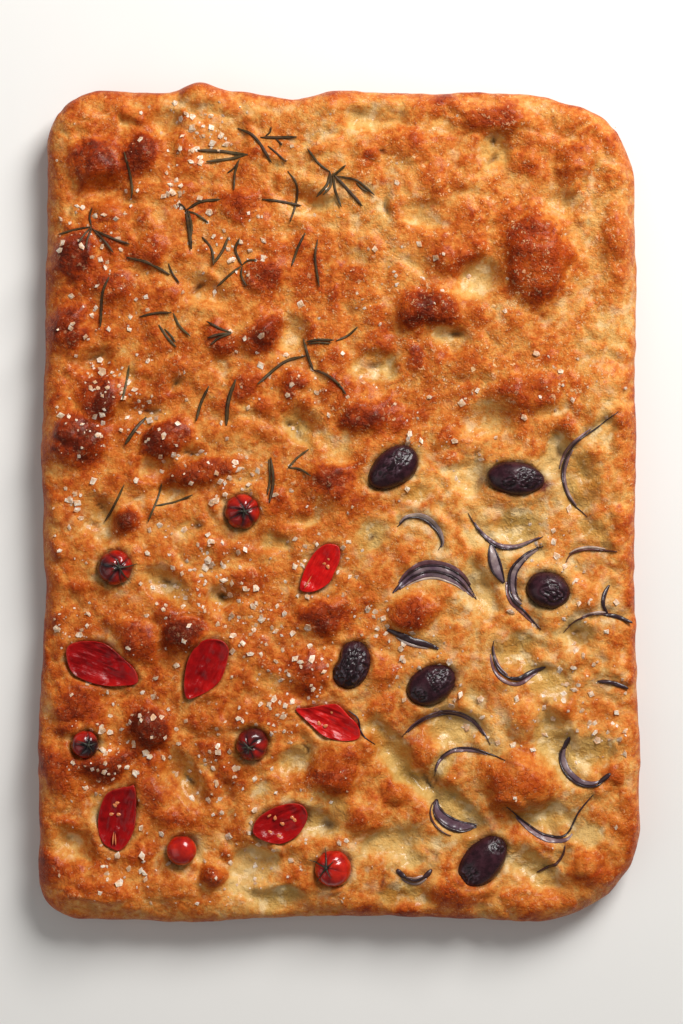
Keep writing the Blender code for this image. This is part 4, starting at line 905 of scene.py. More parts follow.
# the colour of the painted shade in slits, creases and round olives and onion slices
PAINTED_SHADE_COLOUR = (0.060, 0.022, 0.016)
JUICE_COLOUR = (0.085, 0.012, 0.014)
# pale grains, and the painted glints among them
FLECK_AND_GLINT_COLOUR = (1.0, 0.68, 0.36)
# pale cream patches of dough, and the painted wet glints in the dimples
CREAM_AND_GLINT_COLOUR = (0.84, 0.66, 0.38)
# the painted shade in the fine creases
CREASE_SHADE_COLOUR = (0.62, 0.42, 0.30)
SCORCH_COLOUR = (0.09, 0.018, 0.007)


def crust_finish():
    """Baked dough: pale and moist in its dimples, browner on its blisters, oiled and fine-grained, with painted glints
    and painted shade.
    """
    made = Finish("crust")
    brown, moist = made.attribute("browning"), made.attribute("moist")
    gloss, stain, juice = made.attribute("gloss"), made.attribute("stain"), made.attribute("juice")
    grains = made.noise(2.8, 5, 0.66)
    fine = made.noise(1.1, 3, 0.6)
    dry = made.remap(moist, 0.0, 0.9, 1.0, 0.3)
    plain = made.calculate("MULTIPLY", dry, made.remap(gloss, 0.1, 0.7, 1.0, 0.6))
    sandy = made.calculate("MULTIPLY", made.remap(made.noise(16, 2), 0.36, 0.58, 0.5, 1.0), dry)
    sandy = made.calculate("MULTIPLY", sandy, made.attribute("sand"))
    change = made.calculate("MULTIPLY_ADD", made.noise(9, 3), 0.62, -0.31)
    uneven = made.calculate("MULTIPLY_ADD", grains, 0.90, -0.45)
    change = made.calculate("ADD", change, made.calculate("MULTIPLY", uneven, plain))
    tone = made.calculate("ADD", brown, change)
    colour = made.mix(moist, made.ramp(tone, CRUST_COLOURS), made.ramp(tone, MOIST_AND_SHADE_COLOURS))

    cream = made.calculate("MULTIPLY", made.remap(made.noise(6.5, 3), 0.53, 0.64), made.remap(brown, 0.42, 0.20))
    colour = made.mix(made.calculate("MULTIPLY", cream, 0.5), colour, CREAM_AND_GLINT_COLOUR)

    def lines(size, wide, narrow):
        """Thin wandering lines, 1 on each and 0 away from it."""
        away = made.calculate("ABSOLUTE", made.calculate("MULTIPLY_ADD", made.noise(size, 2, 0.5), 2, -1))
        return made.remap(away, wide, narrow)

    # fine creases, darkened with painted shade
    crease = made.calculate("MULTIPLY", lines(4.2, 0.07, 0.0), made.remap(brown, 0.35, 0.70, 0.25, 1.0))
    colour = made.mix(made.calculate("MULTIPLY", crease, 0.55), colour, CREASE_SHADE_COLOUR, "MULTIPLY")
    # pale flecks: partly pale grains, partly painted glints that show from every side
    places = made.pushed(1.5, 4.5)
    flecks = made.calculate("MAXIMUM", made.crystals(1.25, 0.75, places), made.crystals(2.4, 0.40, places))
    flecks = made.calculate("MULTIPLY", flecks, made.remap(made.noise(7), 0.34, 0.56, 0.25, 1.0))
    flecks = made.calculate("MULTIPLY", flecks, made.calculate("MULTIPLY", sandy, made.remap(brown, 0.1, 0.3)))
    pale = made.calculate("MULTIPLY", flecks, made.remap(tone, 1.0, 0.5, 0.35, 0.75))
    colour = made.mix(pale, colour, FLECK_AND_GLINT_COLOUR)
    # painted wet glints in the moist dimples
    glints = made.calculate("MULTIPLY", made.crystals(2.1, 0.35, places), made.calculate("MULTIPLY", moist, 0.5))
    colour = made.mix(glints, colour, CREAM_AND_GLINT_COLOUR)
    scorched = made.calculate("MULTIPLY", made.remap(made.cells(2.7), 0.30, 0.12), made.remap(tone, 0.5, 0.85))
    colour = made.mix(made.calculate("MULTIPLY", scorched, 0.4), colour, SCORCH_COLOUR)
    # painted shade in slits, creases and round olives and onion slices
    colour = made.mix(stain, colour, PAINTED_SHADE_COLOUR)
    soaked = made.calculate("MULTIPLY", juice, made.remap(grains, 0.25, 0.55, 0.45, 1.0))
    colour = made.mix(soaked, colour, JUICE_COLOUR)
    relief = made.calculate("MULTIPLY", grains, made.remap(plain, 0.3, 1.0, 0.55, 1.0))
    relief = made.calculate("ADD", relief, made.calculate("MULTIPLY", fine, made.calculate("MULTIPLY", sandy, 0.7)))
    relief = made.calculate("ADD", relief, made.calculate("MULTIPLY", crease, -0.22))
    relief = made.calculate("ADD", relief, made.calculate("MULTIPLY", flecks, 0.30))
    crinkles = made.calculate("MULTIPLY", lines(3.4, 0.30, 0.0), made.calculate("MULTIPLY", moist, 0.30))
    relief = made.calculate("ADD", relief, crinkles)
    made.bump(relief, 1.3, 0.85)
    rough = made.calculate("MULTIPLY_ADD", made.calculate("MAXIMUM", gloss, moist), -0.14, 0.44)
    rough = made.calculate("ADD", rough, made.calculate("MULTIPLY_ADD", grains, 0.2, -0.1))
    made.set(Base_Color=colour, Roughness=rough, Specular_IOR_Level=0.15, Specular_Tint=(1.0, 0.84, 0.62, 1.0))
    made.set(Coat_Weight=made.calculate("MULTIPLY_ADD", moist, 0.35, 0.07), Coat_Roughness=0.13, Coat_IOR=1.46)
    return made.material


# ---------------------------------------------------------------- the crust's mesh

def grid_faces(index):
    """Quads over a grid of point numbers, facing up when both of its directions run positive."""
    corners = (index[:-1, :-1], index[1:, :-1], index[1:, 1:], index[:-1, 1:])
    return np.stack([corner.ravel() for corner in corners], axis=1)


def grid_border(index):
    """The numbers of the grid's border points, anticlockwise from its first."""
    return np.concatenate((index[:-1, 0], index[-1, :-1], index[:0:-1, -1], index[0, :0:-1]))


def band_faces(inner, outer):
    """Quads between two closed loops of point numbers, from the upper one down to the lower."""
    return np.stack((inner, outer, np.roll(outer, -1), np.roll(inner, -1)), axis=1)


class CrustMesh:
    """Gathers the crust's points, faces and looks, loop by loop from the top to the underside."""

    def __init__(self, crust):
        self.crust = crust
        self.points, self.looks, self.faces, self.parts = [], [], [], []
        self.count = 0

    def add_points(self, flat, heights, looks):
        first = self.count
        self.points.append(np.column_stack((flat, heights)))
        self.looks.append(np.column_stack(looks))
        self.count += len(flat)
        return np.arange(first, self.count)

    def add_faces(self, faces, part=TOP):
        self.faces.extend(faces.tolist())
        self.parts.extend([part] * len(faces))


def lumpy_border(across, along, outwards, drop, share):
    """The outline at this offset and this far below the top, with the side's lumps felt in this share."""
    flat = border(across, along, outwards)
    x, y = flat.T
    lumps = 0.7 * soft_noise(x, y, 24, 31) + 0.4 * soft_noise(x, y, 10, 32)
    lumps = lumps + 0.3 * soft_noise(x + 0.7 * drop, y - 0.7 * drop, 5.5, 33)
    normal = border(across, along, 1.0) - border(across, along, 0.0)
    return flat + (share * lumps)[:, None] * normal


def build_crust(crust):
    sizes = np.array(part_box("bread")[1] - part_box("bread")[0]) / MM - 2 * EDGE_ROUND
    coarse = [max(2, round(size / GRID_STEP / UNDER_SHARE)) for size in sizes[:2]]
    across, along = (count * UNDER_SHARE for count in coarse)
    mesh = CrustMesh(crust)
    flat = patch(across, along, EDGE_ROUND).reshape(-1, 2)
    heights, looks = crust.relief(flat[:, 0], flat[:, 1])
    index = mesh.add_points(flat, heights, looks).reshape(across + 1, along + 1)
    mesh.add_faces(grid_faces(index))
    loop = grid_border(index)
    loop = add_roll(mesh, loop, across, along)
    loop = add_wall(mesh, loop, across, along)
    add_underside(mesh, loop, coarse)
    points = np.vstack(mesh.points)
    points[:, :2] += SHIFT
    obj = make_object("crust", points * MM, mesh.faces, crust_finish(), replaced=["bread"])
    for name, values in zip(("browning", "moist", "gloss", "stain", "juice", "sand"), np.vstack(mesh.looks).T):
        set_attribute(obj, name, values)
    add_bake_map(obj.data, np.array(mesh.parts))
    return obj


def add_bake_map(mesh, parts):
    """Lays the surface out flat for its baked colours: most of the sheet for the top, strips for the sides."""
    places = np.empty(len(mesh.vertices) * 3)
    mesh.vertices.foreach_get("co", places)
    places = places.reshape(-1, 3)
    places = (places - places.min(axis=0)) / (places.max(axis=0) - places.min(axis=0))
    normals = np.empty(len(mesh.polygons) * 3)
    mesh.polygons.foreach_get("normal", normals)
    normals = normals.reshape(-1, 3)
    totals = np.empty(len(mesh.polygons), np.int32)
    mesh.polygons.foreach_get("loop_total", totals)
    corners = np.empty(len(mesh.loops), np.int32)
    mesh.loops.foreach_get("vertex_index", corners)
    part, normal = np.repeat(parts, totals), np.repeat(normals, totals, axis=0)
    x, y, z = places[corners].T
    facing_x = np.abs(normal[:, 0]) > np.abs(normal[:, 1])
    side = np.where(facing_x, 0, 2) + (np.where(facing_x, normal[:, 0], normal[:, 1]) > 0)
    maps = np.array((
        (0.005 + 0.99 * y, 0.285 + 0.71 * x),
        (0.385 + 0.61 * np.where(facing_x, y, 0.72 * x), 0.005 + 0.066 * side + 0.06 * z),
        (0.005 + 0.365 * y, 0.005 + 0.262 * x),
    ))
    layer = mesh.uv_layers.new(name="OFBake")
    chosen = np.take_along_axis(maps, part[None, None, :], axis=0)[0]
    layer.data.foreach_set("uv", chosen.T.ravel())


def add_roll(mesh, loop, across, along):
    """Rolls the top over its edge in a quarter turn."""
    for row in range(1, ROLL_ROWS + 1):
        turn = math.pi / 2 * row / ROLL_ROWS
        outwards = -EDGE_ROUND * (1 - math.sin(turn))
        outline = lumpy_border(across, along, outwards, EDGE_ROUND * (1 - math.cos(turn)), math.sin(turn) ** 2)
        heights, looks = mesh.crust.relief(outline[:, 0], outline[:, 1])
        heights = heights - EDGE_ROUND * (1 - math.cos(turn))
        looks[0] = np.clip(looks[0] + 0.22 * (1 - math.cos(turn)), 0, 1)
        lower = mesh.add_points(outline, heights, looks)
        mesh.add_faces(band_faces(loop, lower), TOP if row <= ROLL_ROWS - 3 else SIDE)
        loop = lower
    return loop


def add_wall(mesh, loop, across, along):
    """Takes the side down to a rounded foot, golden brown from the pan it baked against."""
    top = np.vstack(mesh.points)[loop, 2]
    top_looks = np.vstack(mesh.looks)[loop].T
    for row in range(1, WALL_ROWS + 1):
        share = row / WALL_ROWS
        heights = top * (1 - share) + WALL_FOOT * share
        lean = -0.6 * share
        loop = wall_loop(mesh, loop, (across, along), lean, heights, top, top_looks, share)
    for turn in (30, 60, 90):
        angle = math.radians(turn)
        heights = np.full(len(loop), WALL_FOOT * (1 - math.sin(angle)))
        lean = -0.6 - WALL_FOOT * (1 - math.cos(angle))
        loop = wall_loop(mesh, loop, (across, along), lean, heights, top, top_looks, 1.0)
    return loop


def wall_loop(mesh, loop, counts, lean, heights, top, top_looks, share):
    outline = lumpy_border(*counts, lean, EDGE_ROUND + top - heights, 1.0)
    x, y = outline.T
    browning = 0.56 + 0.10 * soft_noise(x + heights, y - heights, 12, 33) + 0.07 * share
    looks = [
        top_looks[0] * (1 - share) + browning * share,
        top_looks[1] * (1 - share),
        top_looks[2] * (1 - share) + 0.5 * share,
        top_looks[3] * (1 - share),
        top_looks[4] * (1 - share),
        top_looks[5] * (1 - share) + 0.3 * share,
    ]
    lower = mesh.add_points(outline, heights, [np.clip(look, 0, 1) for look in looks])
    mesh.add_faces(band_faces(loop, lower), SIDE)
    return lower


def add_underside(mesh, loop, coarse):
    """Closes the slab with a coarser grid, pitted a little where bubbles kept it off the pan."""
    flat = patch(*coarse, WALL_FOOT + 0.6 + 2.5).reshape(-1, 2)
    x, y = flat.T
    pits = 0.35 * np.maximum(0, soft_noise(x, y, 11, 41) + 0.5 * soft_noise(x, y, 5, 42) - 0.35)
    browning = 0.60 + 0.12 * soft_noise(x, y, 26, 43) + 0.08 * soft_noise(x, y, 9, 44)
    none = np.zeros_like(x)
    looks = (browning, none, none + 0.3, none, none, none + 0.4)
    index = mesh.add_points(flat, pits, looks).reshape(coarse[0] + 1, coarse[1] + 1)
    mesh.add_faces(grid_faces(index)[:, ::-1], UNDER)
    inner = grid_border(index)
    fans = []
    for i in range(len(inner)):
        following = inner[(i + 1) % len(inner)]
        outer = [loop[(i * UNDER_SHARE + k) % len(loop)] for k in range(UNDER_SHARE + 1)]
        half = UNDER_SHARE // 2
        fans += [(outer[k], inner[i], outer[k + 1]) for k in range(half)]
        fans.append((outer[half], inner[i], following))
        fans += [(outer[k], following, outer[k + 1]) for k in range(half, UNDER_SHARE)]
    mesh.add_faces(np.array(fans), UNDER)


# ---------------------------------------------------------------- olives

def ball(detail=6):
    """The points and faces of an even unit ball."""
    bm = bmesh.new()
    bmesh.ops.create_icosphere(bm, subdivisions=detail, radius=1)
    points = np.array([vert.co[:] for vert in bm.verts])
    faces = [[vert.index for vert in face.verts] for face in bm.faces]
    bm.free()
    return points, faces


BALL_POINTS, BALL_FACES = ball()


def olive_finish():
    """Cured skin: purple-black, with a painted sheen on the wrinkles' crests and painted shade in their grooves, redder
    low on its sides.
    """
    made = Finish("olive_skin")
    crest, groove, low = made.attribute("crest"), made.attribute("groove"), made.attribute("low")
    mottle = made.noise(3.5, 4)
    colour = made.mix(made.remap(mottle, 0.35, 0.7), (0.016, 0.004, 0.007), (0.050, 0.013, 0.021))
    colour = made.mix(made.calculate("MULTIPLY", low, 0.85), colour, (0.026, 0.005, 0.005))
    # painted shade in the wrinkles' grooves
    colour = made.mix(made.calculate("MULTIPLY", groove, 0.9), colour, (0.006, 0.003, 0.004))
    # a painted sheen on the wrinkles' crests, greyer or more lilac
    pale = made.mix(made.attribute("lilac_sheen"), (0.12, 0.112, 0.130), (0.125, 0.066, 0.092))
    lit = made.calculate("MULTIPLY", crest, made.remap(made.noise(1.3, 3), 0.30, 0.62))
    colour = made.mix(lit, colour, pale)
    wrinkles = made.calculate("ADD", made.noise(0.9, 3), made.calculate("MULTIPLY", made.cells(0.8), 0.4))
    made.bump(wrinkles, 0.22, 0.6)
    rough = made.calculate("MULTIPLY_ADD", mottle, 0.25, 0.15)
    rough = made.calculate("ADD", rough, made.calculate("MULTIPLY", crest, 0.15))
    made.set(Base_Color=colour, Roughness=rough, Specular_IOR_Level=0.26)
    made.set(Coat_Weight=0.14, Coat_Roughness=0.12, Coat_IOR=1.45)
    return made.material


def ridges(x, y, size, seed):
    """Sharp-crested wrinkles between 0 and 1, wandering over the plane."""
    bent_x = x + 0.5 * size * soft_noise(x, y, 1.6 * size, seed + 1)
    bent_y = y + 0.5 * size * soft_noise(x, y, 1.6 * size, seed + 2)
    return 1 - np.abs(soft_noise(bent_x, bent_y, size, seed))


def notched(turns, notch_turn, notch_depth):
    """The share of its radius that an olive keeps, by whole turns round it."""
    swing = np.abs((turns - notch_turn + 0.5) % 1 - 0.5)
    return 1 - notch_depth * np.exp(-((swing / 0.075) ** 2))


def build_olive(olive, looks, seed, finish):
    """An olive on its node's place, wrinkled over the patches that dried out in the oven."""
    taper, notch_turn, notch_depth, depth, ringed, lilac_sheen, patches = looks
    x, y, z = BALL_POINTS.T
    pinch = 1 - (1 - notched(np.arctan2(y, x) / (2 * math.pi), notch_turn, notch_depth)) * (1 - z**2)
    half_height = 0.82 * olive.half_width
    long = x * olive.half_length * pinch
    wide = y * olive.half_width * (1 - taper * x) * pinch
    inside, rings = np.zeros_like(x), np.zeros_like(x)
    for patch_x, patch_y, reach_x, reach_y in patches:
        far = np.hypot((x - patch_x) / reach_x, (y - patch_y) / reach_y)
        far += 0.22 * soft_noise(long, wide, 3, seed)
        felt = np.clip((1.1 - far) / 0.3, 0, 1) * (z > 0)
        ring = 0.5 + 0.5 * np.cos(2 * math.pi * (1.9 * far + 0.35 * soft_noise(long, wide, 2.6, seed + 3)))
        rings = np.where(felt > inside, ring, rings)
        inside = np.maximum(inside, felt)
    wandering = ridges(long, 1.7 * wide, 2.3, seed + 10)
    fine = ridges(long, 1.5 * wide, 1.3, seed + 20)
    crests = ringed * rings**1.5 + (1 - ringed) * wandering**4
    relief = depth * inside * (1.15 * crests + 0.5 * fine**3 - 1.2)
    relief += 0.12 * soft_noise(long, wide, 4, seed + 30)
    normal = unit(BALL_POINTS / (olive.half_length, olive.half_width, half_height))
    points = np.column_stack((long, wide, z * half_height)) + normal * relief[:, None]
    strength = 1.6 * crests * (0.25 + fine**3)
    obj = add_piece(olive, points, BALL_FACES, olive.top - half_height, finish)
    # where the painted sheen and the painted shade of the wrinkles lie
    set_attribute(obj, "crest", inside * np.clip(strength - 0.30, 0, 1))
    set_attribute(obj, "groove", inside * np.clip(1.0 - 2.2 * strength, 0, 1))
    set_attribute(obj, "lilac_sheen", np.full_like(x, lilac_sheen))
    set_attribute(obj, "low", np.clip(0.9 - 1.6 * z, 0, 1))


def add_piece(footprint, local, faces, middle_height, finish):
    """A piece in place of a node, from points along and aside of the node's own axes."""
    points = np.array(local, float)
    points[:, :2] = points[:, :2] @ footprint.axes + footprint.middle + SHIFT
    points[:, 2] += middle_height
    return make_object(f"{footprint.name}_looks", points * MM, faces, finish, replaced=[footprint.name])


# ---------------------------------------------------------------- whole tomatoes

def tomato_finish():
    """Roasted skin: taut, wet and bright where it is full, dark crimson where it shrank or scorched."""
    made = Finish("tomato_skin")
    bright, scorch = made.attribute("bright"), made.attribute("scorch")
    blotch = made.noise(4, 3)
    dark = made.mix(made.remap(blotch, 0.35, 0.65), (0.060, 0.003, 0.004), (0.13, 0.004, 0.004))
    light = made.mix(made.remap(blotch, 0.35, 0.65), (0.36, 0.005, 0.003), (0.56, 0.016, 0.004))
    colour = made.mix(bright, dark, light)
    colour = made.mix(scorch, colour, (0.013, 0.006, 0.008))
    made.bump(made.noise(1.3, 3), 0.12, 0.5)
    made.set(Base_Color=colour, Roughness=made.calculate("MULTIPLY_ADD", blotch, 0.15, 0.14))
    made.set(Specular_IOR_Level=0.3)
    made.set(Subsurface_Weight=0.08, Subsurface_Radius=(1.0, 0.1, 0.05), Subsurface_Scale=0.001)
    made.set(Coat_Weight=0.5, Coat_Roughness=0.06, Coat_IOR=1.45)
    return made.material


def tomato_height(tomato, x, y):
    """The height of a whole tomato's smooth surface over a point of the plan."""
    far = ((x - tomato.middle[0]) ** 2 + (y - tomato.middle[1]) ** 2) / tomato.half_width**2
    return tomato.top - tomato.half_height + tomato.half_height * np.sqrt(np.maximum(0, 1 - far))


def build_tomato(tomato, looks, seed, finish):
    """A tomato on its node's place, drawn in to the crown by the folds of its shrunken skin."""
    crown, lobes, fold, brightness, scorched = looks
    x, y, z = BALL_POINTS.T
    crown = np.array((*crown, 0.0))
    crown[2] = math.sqrt(max(0.0, 1 - crown @ crown)) if crown @ crown < 1 else 0.0
    crown = unit(crown)
    nearness = np.arccos(np.clip(BALL_POINTS @ crown, -1, 1))
    side = unit(np.cross(crown, (0.31, 0.9, 0.17)))
    turns = np.arctan2(BALL_POINTS @ np.cross(crown, side), BALL_POINTS @ side)
    wander = 0.8 * soft_noise(x * 6, y * 6, 4, seed)
    folds = np.abs(np.sin(lobes * turns / 2 + wander)) ** 0.7
    fade = np.exp(-((nearness - 0.45) / 0.55) ** 2)
    strength = min(1.0, fold / 0.1)
    radius = 1 - fold * (1 - folds) * fade - 0.10 * np.exp(-((nearness / 0.28) ** 2))
    radius -= 0.055 * strength * (0.75 - folds) * np.exp(-(((nearness - 1.6) / 0.6) ** 2))
    radius += 0.35 * fold * (ridges(x * 8, y * 8, 2.6, seed + 5) - 0.6) * np.exp(-((nearness / 0.9) ** 2))
    radius += 0.012 * soft_noise(x * 8, y * 8, 5, seed + 9)
    size = np.array((tomato.half_width, tomato.half_width, tomato.half_height))
    points = BALL_POINTS * size * radius[:, None]
    scorch_x, scorch_y, reach, amount = scorched
    scorch = amount * np.exp(-(((x - scorch_x) ** 2 + (y - scorch_y) ** 2) / reach**2) ** 2)
    scorch += 0.5 * np.exp(-((nearness / 0.2) ** 2))
    scorch += 0.75 * strength * (1 - folds) ** 1.5 * np.exp(-(((nearness - 0.45) / 0.5) ** 2))
    lobe = folds * np.clip((nearness - 0.2) / 0.35, 0, 1) * np.clip((1.9 - nearness) / 0.7, 0, 1)
    bright = brightness + 0.75 * strength * (lobe - 0.4) - 0.35 * (1 - strength) * np.clip(nearness - 1.9, 0, 1)
    tomato.axes = np.eye(2)
    obj = add_piece(tomato, points, BALL_FACES, tomato.top - tomato.half_height, finish)
    set_attribute(obj, "bright", np.clip(bright + 0.25 * soft_noise(x * 8, y * 8, 5, seed + 7), 0, 1))
    set_attribute(obj, "scorch", np.clip(scorch, 0, 1))
    return tomato.middle + crown[:2] * tomato.half_width * 0.94


def sepal_finish():
    made = Finish("dried_sepals")
    colour = made.mix(made.remap(made.noise(1.4, 3), 0.35, 0.65), (0.009, 0.009, 0.006), (0.036, 0.038, 0.018))
    made.set(Base_Color=colour, Roughness=0.55)
    made.bump(made.noise(0.5, 2), 0.1, 0.5)
    return made.material


def build_sepals(crust, tomatoes, crowns):
    """The dry stars left where the stalks were, lying over each tomato and onto the crust."""
    strips = Strips()
    for number, sepals in SEPALS:
        tomato, crown = tomatoes[number - 1], crowns[number - 1]
        for heading, length in sepals:
            turn = math.radians(heading)
            steps = np.linspace(0, 1, max(6, round(length / 0.6)))[:, None]
            bend = np.array((-math.sin(turn), math.cos(turn))) * 0.12 * length
            route = crown + steps * length * np.array((math.cos(turn), math.sin(turn))) + bend * steps**2
            over = tomato_height(tomato, *route.T)
            on_crust = crust.height(*route.T)
            heights = np.maximum(over, on_crust) + 0.25 + 0.5 * steps[:, 0] ** 2
            widths = 0.85 * (1 - 0.9 * steps[:, 0]) + 0.12
            strips.add(route, heights, widths, 0.35, np.zeros(len(route)))
        strips.add(crown + ((-0.5, -0.4), (0, 0), (0.5, 0.4)), tomato_height(tomato, *crown) + np.array((0.2, 0.5, 0.3)),
                   np.array((1.2, 1.9, 1.1)), 0.8, np.zeros(3))
    return strips.make("sepals", sepal_finish())


# ---------------------------------------------------------------- strips: herbs, sepals and onion

class Strips:
    """Many thin curved strips, joined in one mesh, with a tone and a place across for each point."""

    SECTION = 10

    def __init__(self):
        self.points, self.faces, self.tones, self.across = [], [], [], []
        self.count = 0

    def add(self, route, heights, widths, thickness, tones, groove=0.0, sink=0.0, ground=None):
        """A strip along the route, arched above and closed at its ends. It lies on the ground, if given."""
        along = unit(np.gradient(np.asarray(route, float), axis=0))
        left = np.column_stack((-along[:, 1], along[:, 0]))
        turns = 2 * math.pi * np.arange(self.SECTION) / self.SECTION
        across, up = np.cos(turns), np.sin(turns)
        rise = np.where(up > 0, up * thickness, up * max(0.5 * thickness, sink))
        rise = rise - groove * thickness * np.where(up > 0, np.maximum(0, 1 - np.abs(across) * 2.2), 0)
        flat = route[:, None, :] + left[:, None, :] * (across[None, :] * widths[:, None] / 2)[:, :, None]
        taper = np.minimum(1, widths / max(widths.max(), 1e-6) * 1.6)
        level = heights[:, None] + rise[None, :] * taper[:, None]
        if ground:
            level = level + ground(flat[:, :, 0], flat[:, :, 1])
        points = np.concatenate((flat, level[:, :, None]), axis=2).reshape(-1, 3)
        index = self.count + np.arange(len(points)).reshape(-1, self.SECTION)
        ring, following = index[:-1], index[1:]
        quads = np.stack((ring, np.roll(ring, -1, 1), np.roll(following, -1, 1), following), axis=2)
        self.faces.extend(quads.reshape(-1, 4)[:, ::-1].tolist())
        self.faces.append(index[0].tolist())
        self.faces.append(index[-1][::-1].tolist())
        self.points.append(points)
        self.tones.append(np.repeat(tones, self.SECTION))
        self.across.append(np.tile(across, len(route)))
        self.count += len(points)

    def make(self, name, finish, slot=None, replaced=()):
        points = np.vstack(self.points)
        points[:, :2] += SHIFT
        obj = make_object(name, points * MM, self.faces, finish, replaced=replaced)
        set_attribute(obj, "tone", np.concatenate(self.tones))
        set_attribute(obj, "across", np.concatenate(self.across))
        return obj


def eased(values, reach=2):
    """Values along a line with their sharpest changes smoothed away."""
    padded = np.pad(values, reach, mode="edge")
    window = np.hanning(2 * reach + 3)[1:-1]
    return np.convolve(padded, window / window.sum(), mode="valid")


# ---------------------------------------------------------------- tomato halves

def flesh_finish():
    """Wet flesh with pale fibres along it, paler at the rim where the skin is cut."""
    made = Finish("tomato_flesh")
    along, aside, rim = made.attribute("along"), made.attribute("aside"), made.attribute("rim")
    bright = made.attribute("bright")
    inputs = {"X": made.calculate("MULTIPLY", along, 0.10), "Y": aside, "Z": rim}
    lengthways = made.add("ShaderNodeCombineXYZ", inputs)
    inputs = {"Vector": lengthways, "Scale": 1.7, "Detail": 3.0, "Roughness": 0.6}
    fibres = made.add("ShaderNodeTexNoise", inputs, "Fac")
    blotch = made.noise(5, 3)
    dark = made.mix(made.remap(blotch, 0.3, 0.7), (0.15, 0.001, 0.002), (0.30, 0.002, 0.003))
    light = made.mix(made.remap(blotch, 0.3, 0.7), (0.44, 0.003, 0.004), (0.64, 0.010, 0.007))
    colour = made.mix(bright, dark, light)
    veins = made.calculate("MULTIPLY", made.remap(fibres, 0.44, 0.32), 0.30)
    colour = made.mix(veins, colour, (0.055, 0.001, 0.002))
    pale = made.calculate("MULTIPLY", made.remap(fibres, 0.57, 0.68), made.remap(rim, 0.95, 0.6))
    shown = made.calculate("MULTIPLY_ADD", bright, 0.24, 0.06)
    colour = made.mix(made.calculate("MULTIPLY", pale, shown), colour, (0.62, 0.060, 0.035))
    edge = made.calculate("MULTIPLY", made.remap(rim, 0.93, 0.99), made.remap(made.noise(4), 0.4, 0.6))
    colour = made.mix(made.calculate("MULTIPLY", edge, 0.35), colour, (0.55, 0.075, 0.035))
    made.bump(made.calculate("ADD", fibres, made.calculate("MULTIPLY", made.noise(1.6, 3), 0.8)), 0.45, 0.5)
    made.set(Base_Color=colour, Roughness=made.calculate("MULTIPLY_ADD", blotch, 0.20, 0.14))
    made.set(Specular_IOR_Level=0.16, Specular_Tint=(1.0, 0.70, 0.70, 1.0))
    made.set(Subsurface_Weight=0.08, Subsurface_Radius=(1.0, 0.08, 0.05), Subsurface_Scale=0.001)
    made.set(Coat_Weight=0.28, Coat_Roughness=0.07, Coat_IOR=1.4)
    return made.material


# Rings of a half: share of its outline, and height against the crust in millimetres.
CUT_RINGS = [(share, None) for share in np.linspace(0.04, 0.93, 26)]
LIP_RINGS = ((0.965, 1.85), (0.99, 1.85), (1.0, 1.6), (1.0, 1.0), (0.985, 0.2))
SKIN_RINGS = ((0.95, -1.2), (0.86, -3.0), (0.70, -4.8), (0.42, -6.0))
HALF_SPOKES = 120


def build_half(half, brightness, seed, finish):
    """A half with its cut face up, dished and fibrous, over a boat-shaped skin."""
    turns = 2 * math.pi * np.arange(HALF_SPOKES) / HALF_SPOKES
    edge = half.edge(turns)
    level = half.top - 2.2
    rings, rims = [], []
    for share, height in CUT_RINGS + list(LIP_RINGS) + list(SKIN_RINGS):
        flat = np.column_stack((np.cos(turns), np.sin(turns))) * (edge * share)[:, None]
        local = flat @ half.axes.T
        if height is None:
            height = cut_height(half, local, share, seed)
        else:
            height = level + height + 0.25 * soft_noise(local[:, 0], local[:, 1], 5, seed + 3)
        rings.append(np.column_stack((local, height)))
        rims.append(np.full(HALF_SPOKES, min(share, 1.0)))
    tips = ((0, 0, rings[0][:, 2].mean()), (0, 0, level - 6.3))
    points = np.vstack(rings + [tips])
    index = np.arange(len(rings) * HALF_SPOKES).reshape(len(rings), HALF_SPOKES)
    faces = np.concatenate([band_faces(inner, outer) for inner, outer in zip(index, index[1:])]).tolist()
    first_tip, last_tip = len(points) - 2, len(points) - 1
    faces += [(first_tip, index[0, i - 1], index[0, i]) for i in range(HALF_SPOKES)]
    faces += [(last_tip, index[-1, i], index[-1, i - 1]) for i in range(HALF_SPOKES)]
    obj = add_piece(half, points, faces, 0.0, finish)
    set_attribute(obj, "along", points[:, 0])
    set_attribute(obj, "aside", points[:, 1])
    rim = np.concatenate(rims + [[0.0, 0.5]])
    set_attribute(obj, "rim", rim)
    hollow = (1 - brightness) * np.exp(-((rim / 0.6) ** 2))
    blotch = soft_noise(points[:, 0], points[:, 1], 6, seed + 8)
    set_attribute(obj, "bright", brightness + 0.25 * blotch - 0.35 * hollow + 0.15 * rim**4)


def cut_height(half, local, share, seed):
    """The cut face's height: a dish with lengthwise folds, and ridges where the walls meet."""
    along, aside = local.T
    dish = 1.9 - 1.7 * (1 - share**2.2)
    folds = 0.35 * soft_noise(along * 0.35, aside, 2.2, seed) + 0.22 * soft_noise(along * 0.2, aside, 1.0, seed + 1)
    pulp = 0.55 * soft_noise(along, aside, 3.4, seed + 2)
    fade = np.clip((1 - share) / 0.12, 0, 1)
    return half.top - 2.2 + dish + (folds + pulp) * fade


def build_skin_hair(crust, finish):
    """A hair of dark onion skin lying across the crust."""
    route = smooth_route(SKIN_HAIR, 0.9)
    widths = 0.8 * np.sin(math.pi * np.linspace(0.1, 0.95, len(route))) ** 0.5
    strips = Strips()
    strips.add(route, eased(crust.height(*route.T)) + 0.3, widths, 0.4, np.zeros(len(route)), sink=0.6)
    strips.make("onion_skin", finish)


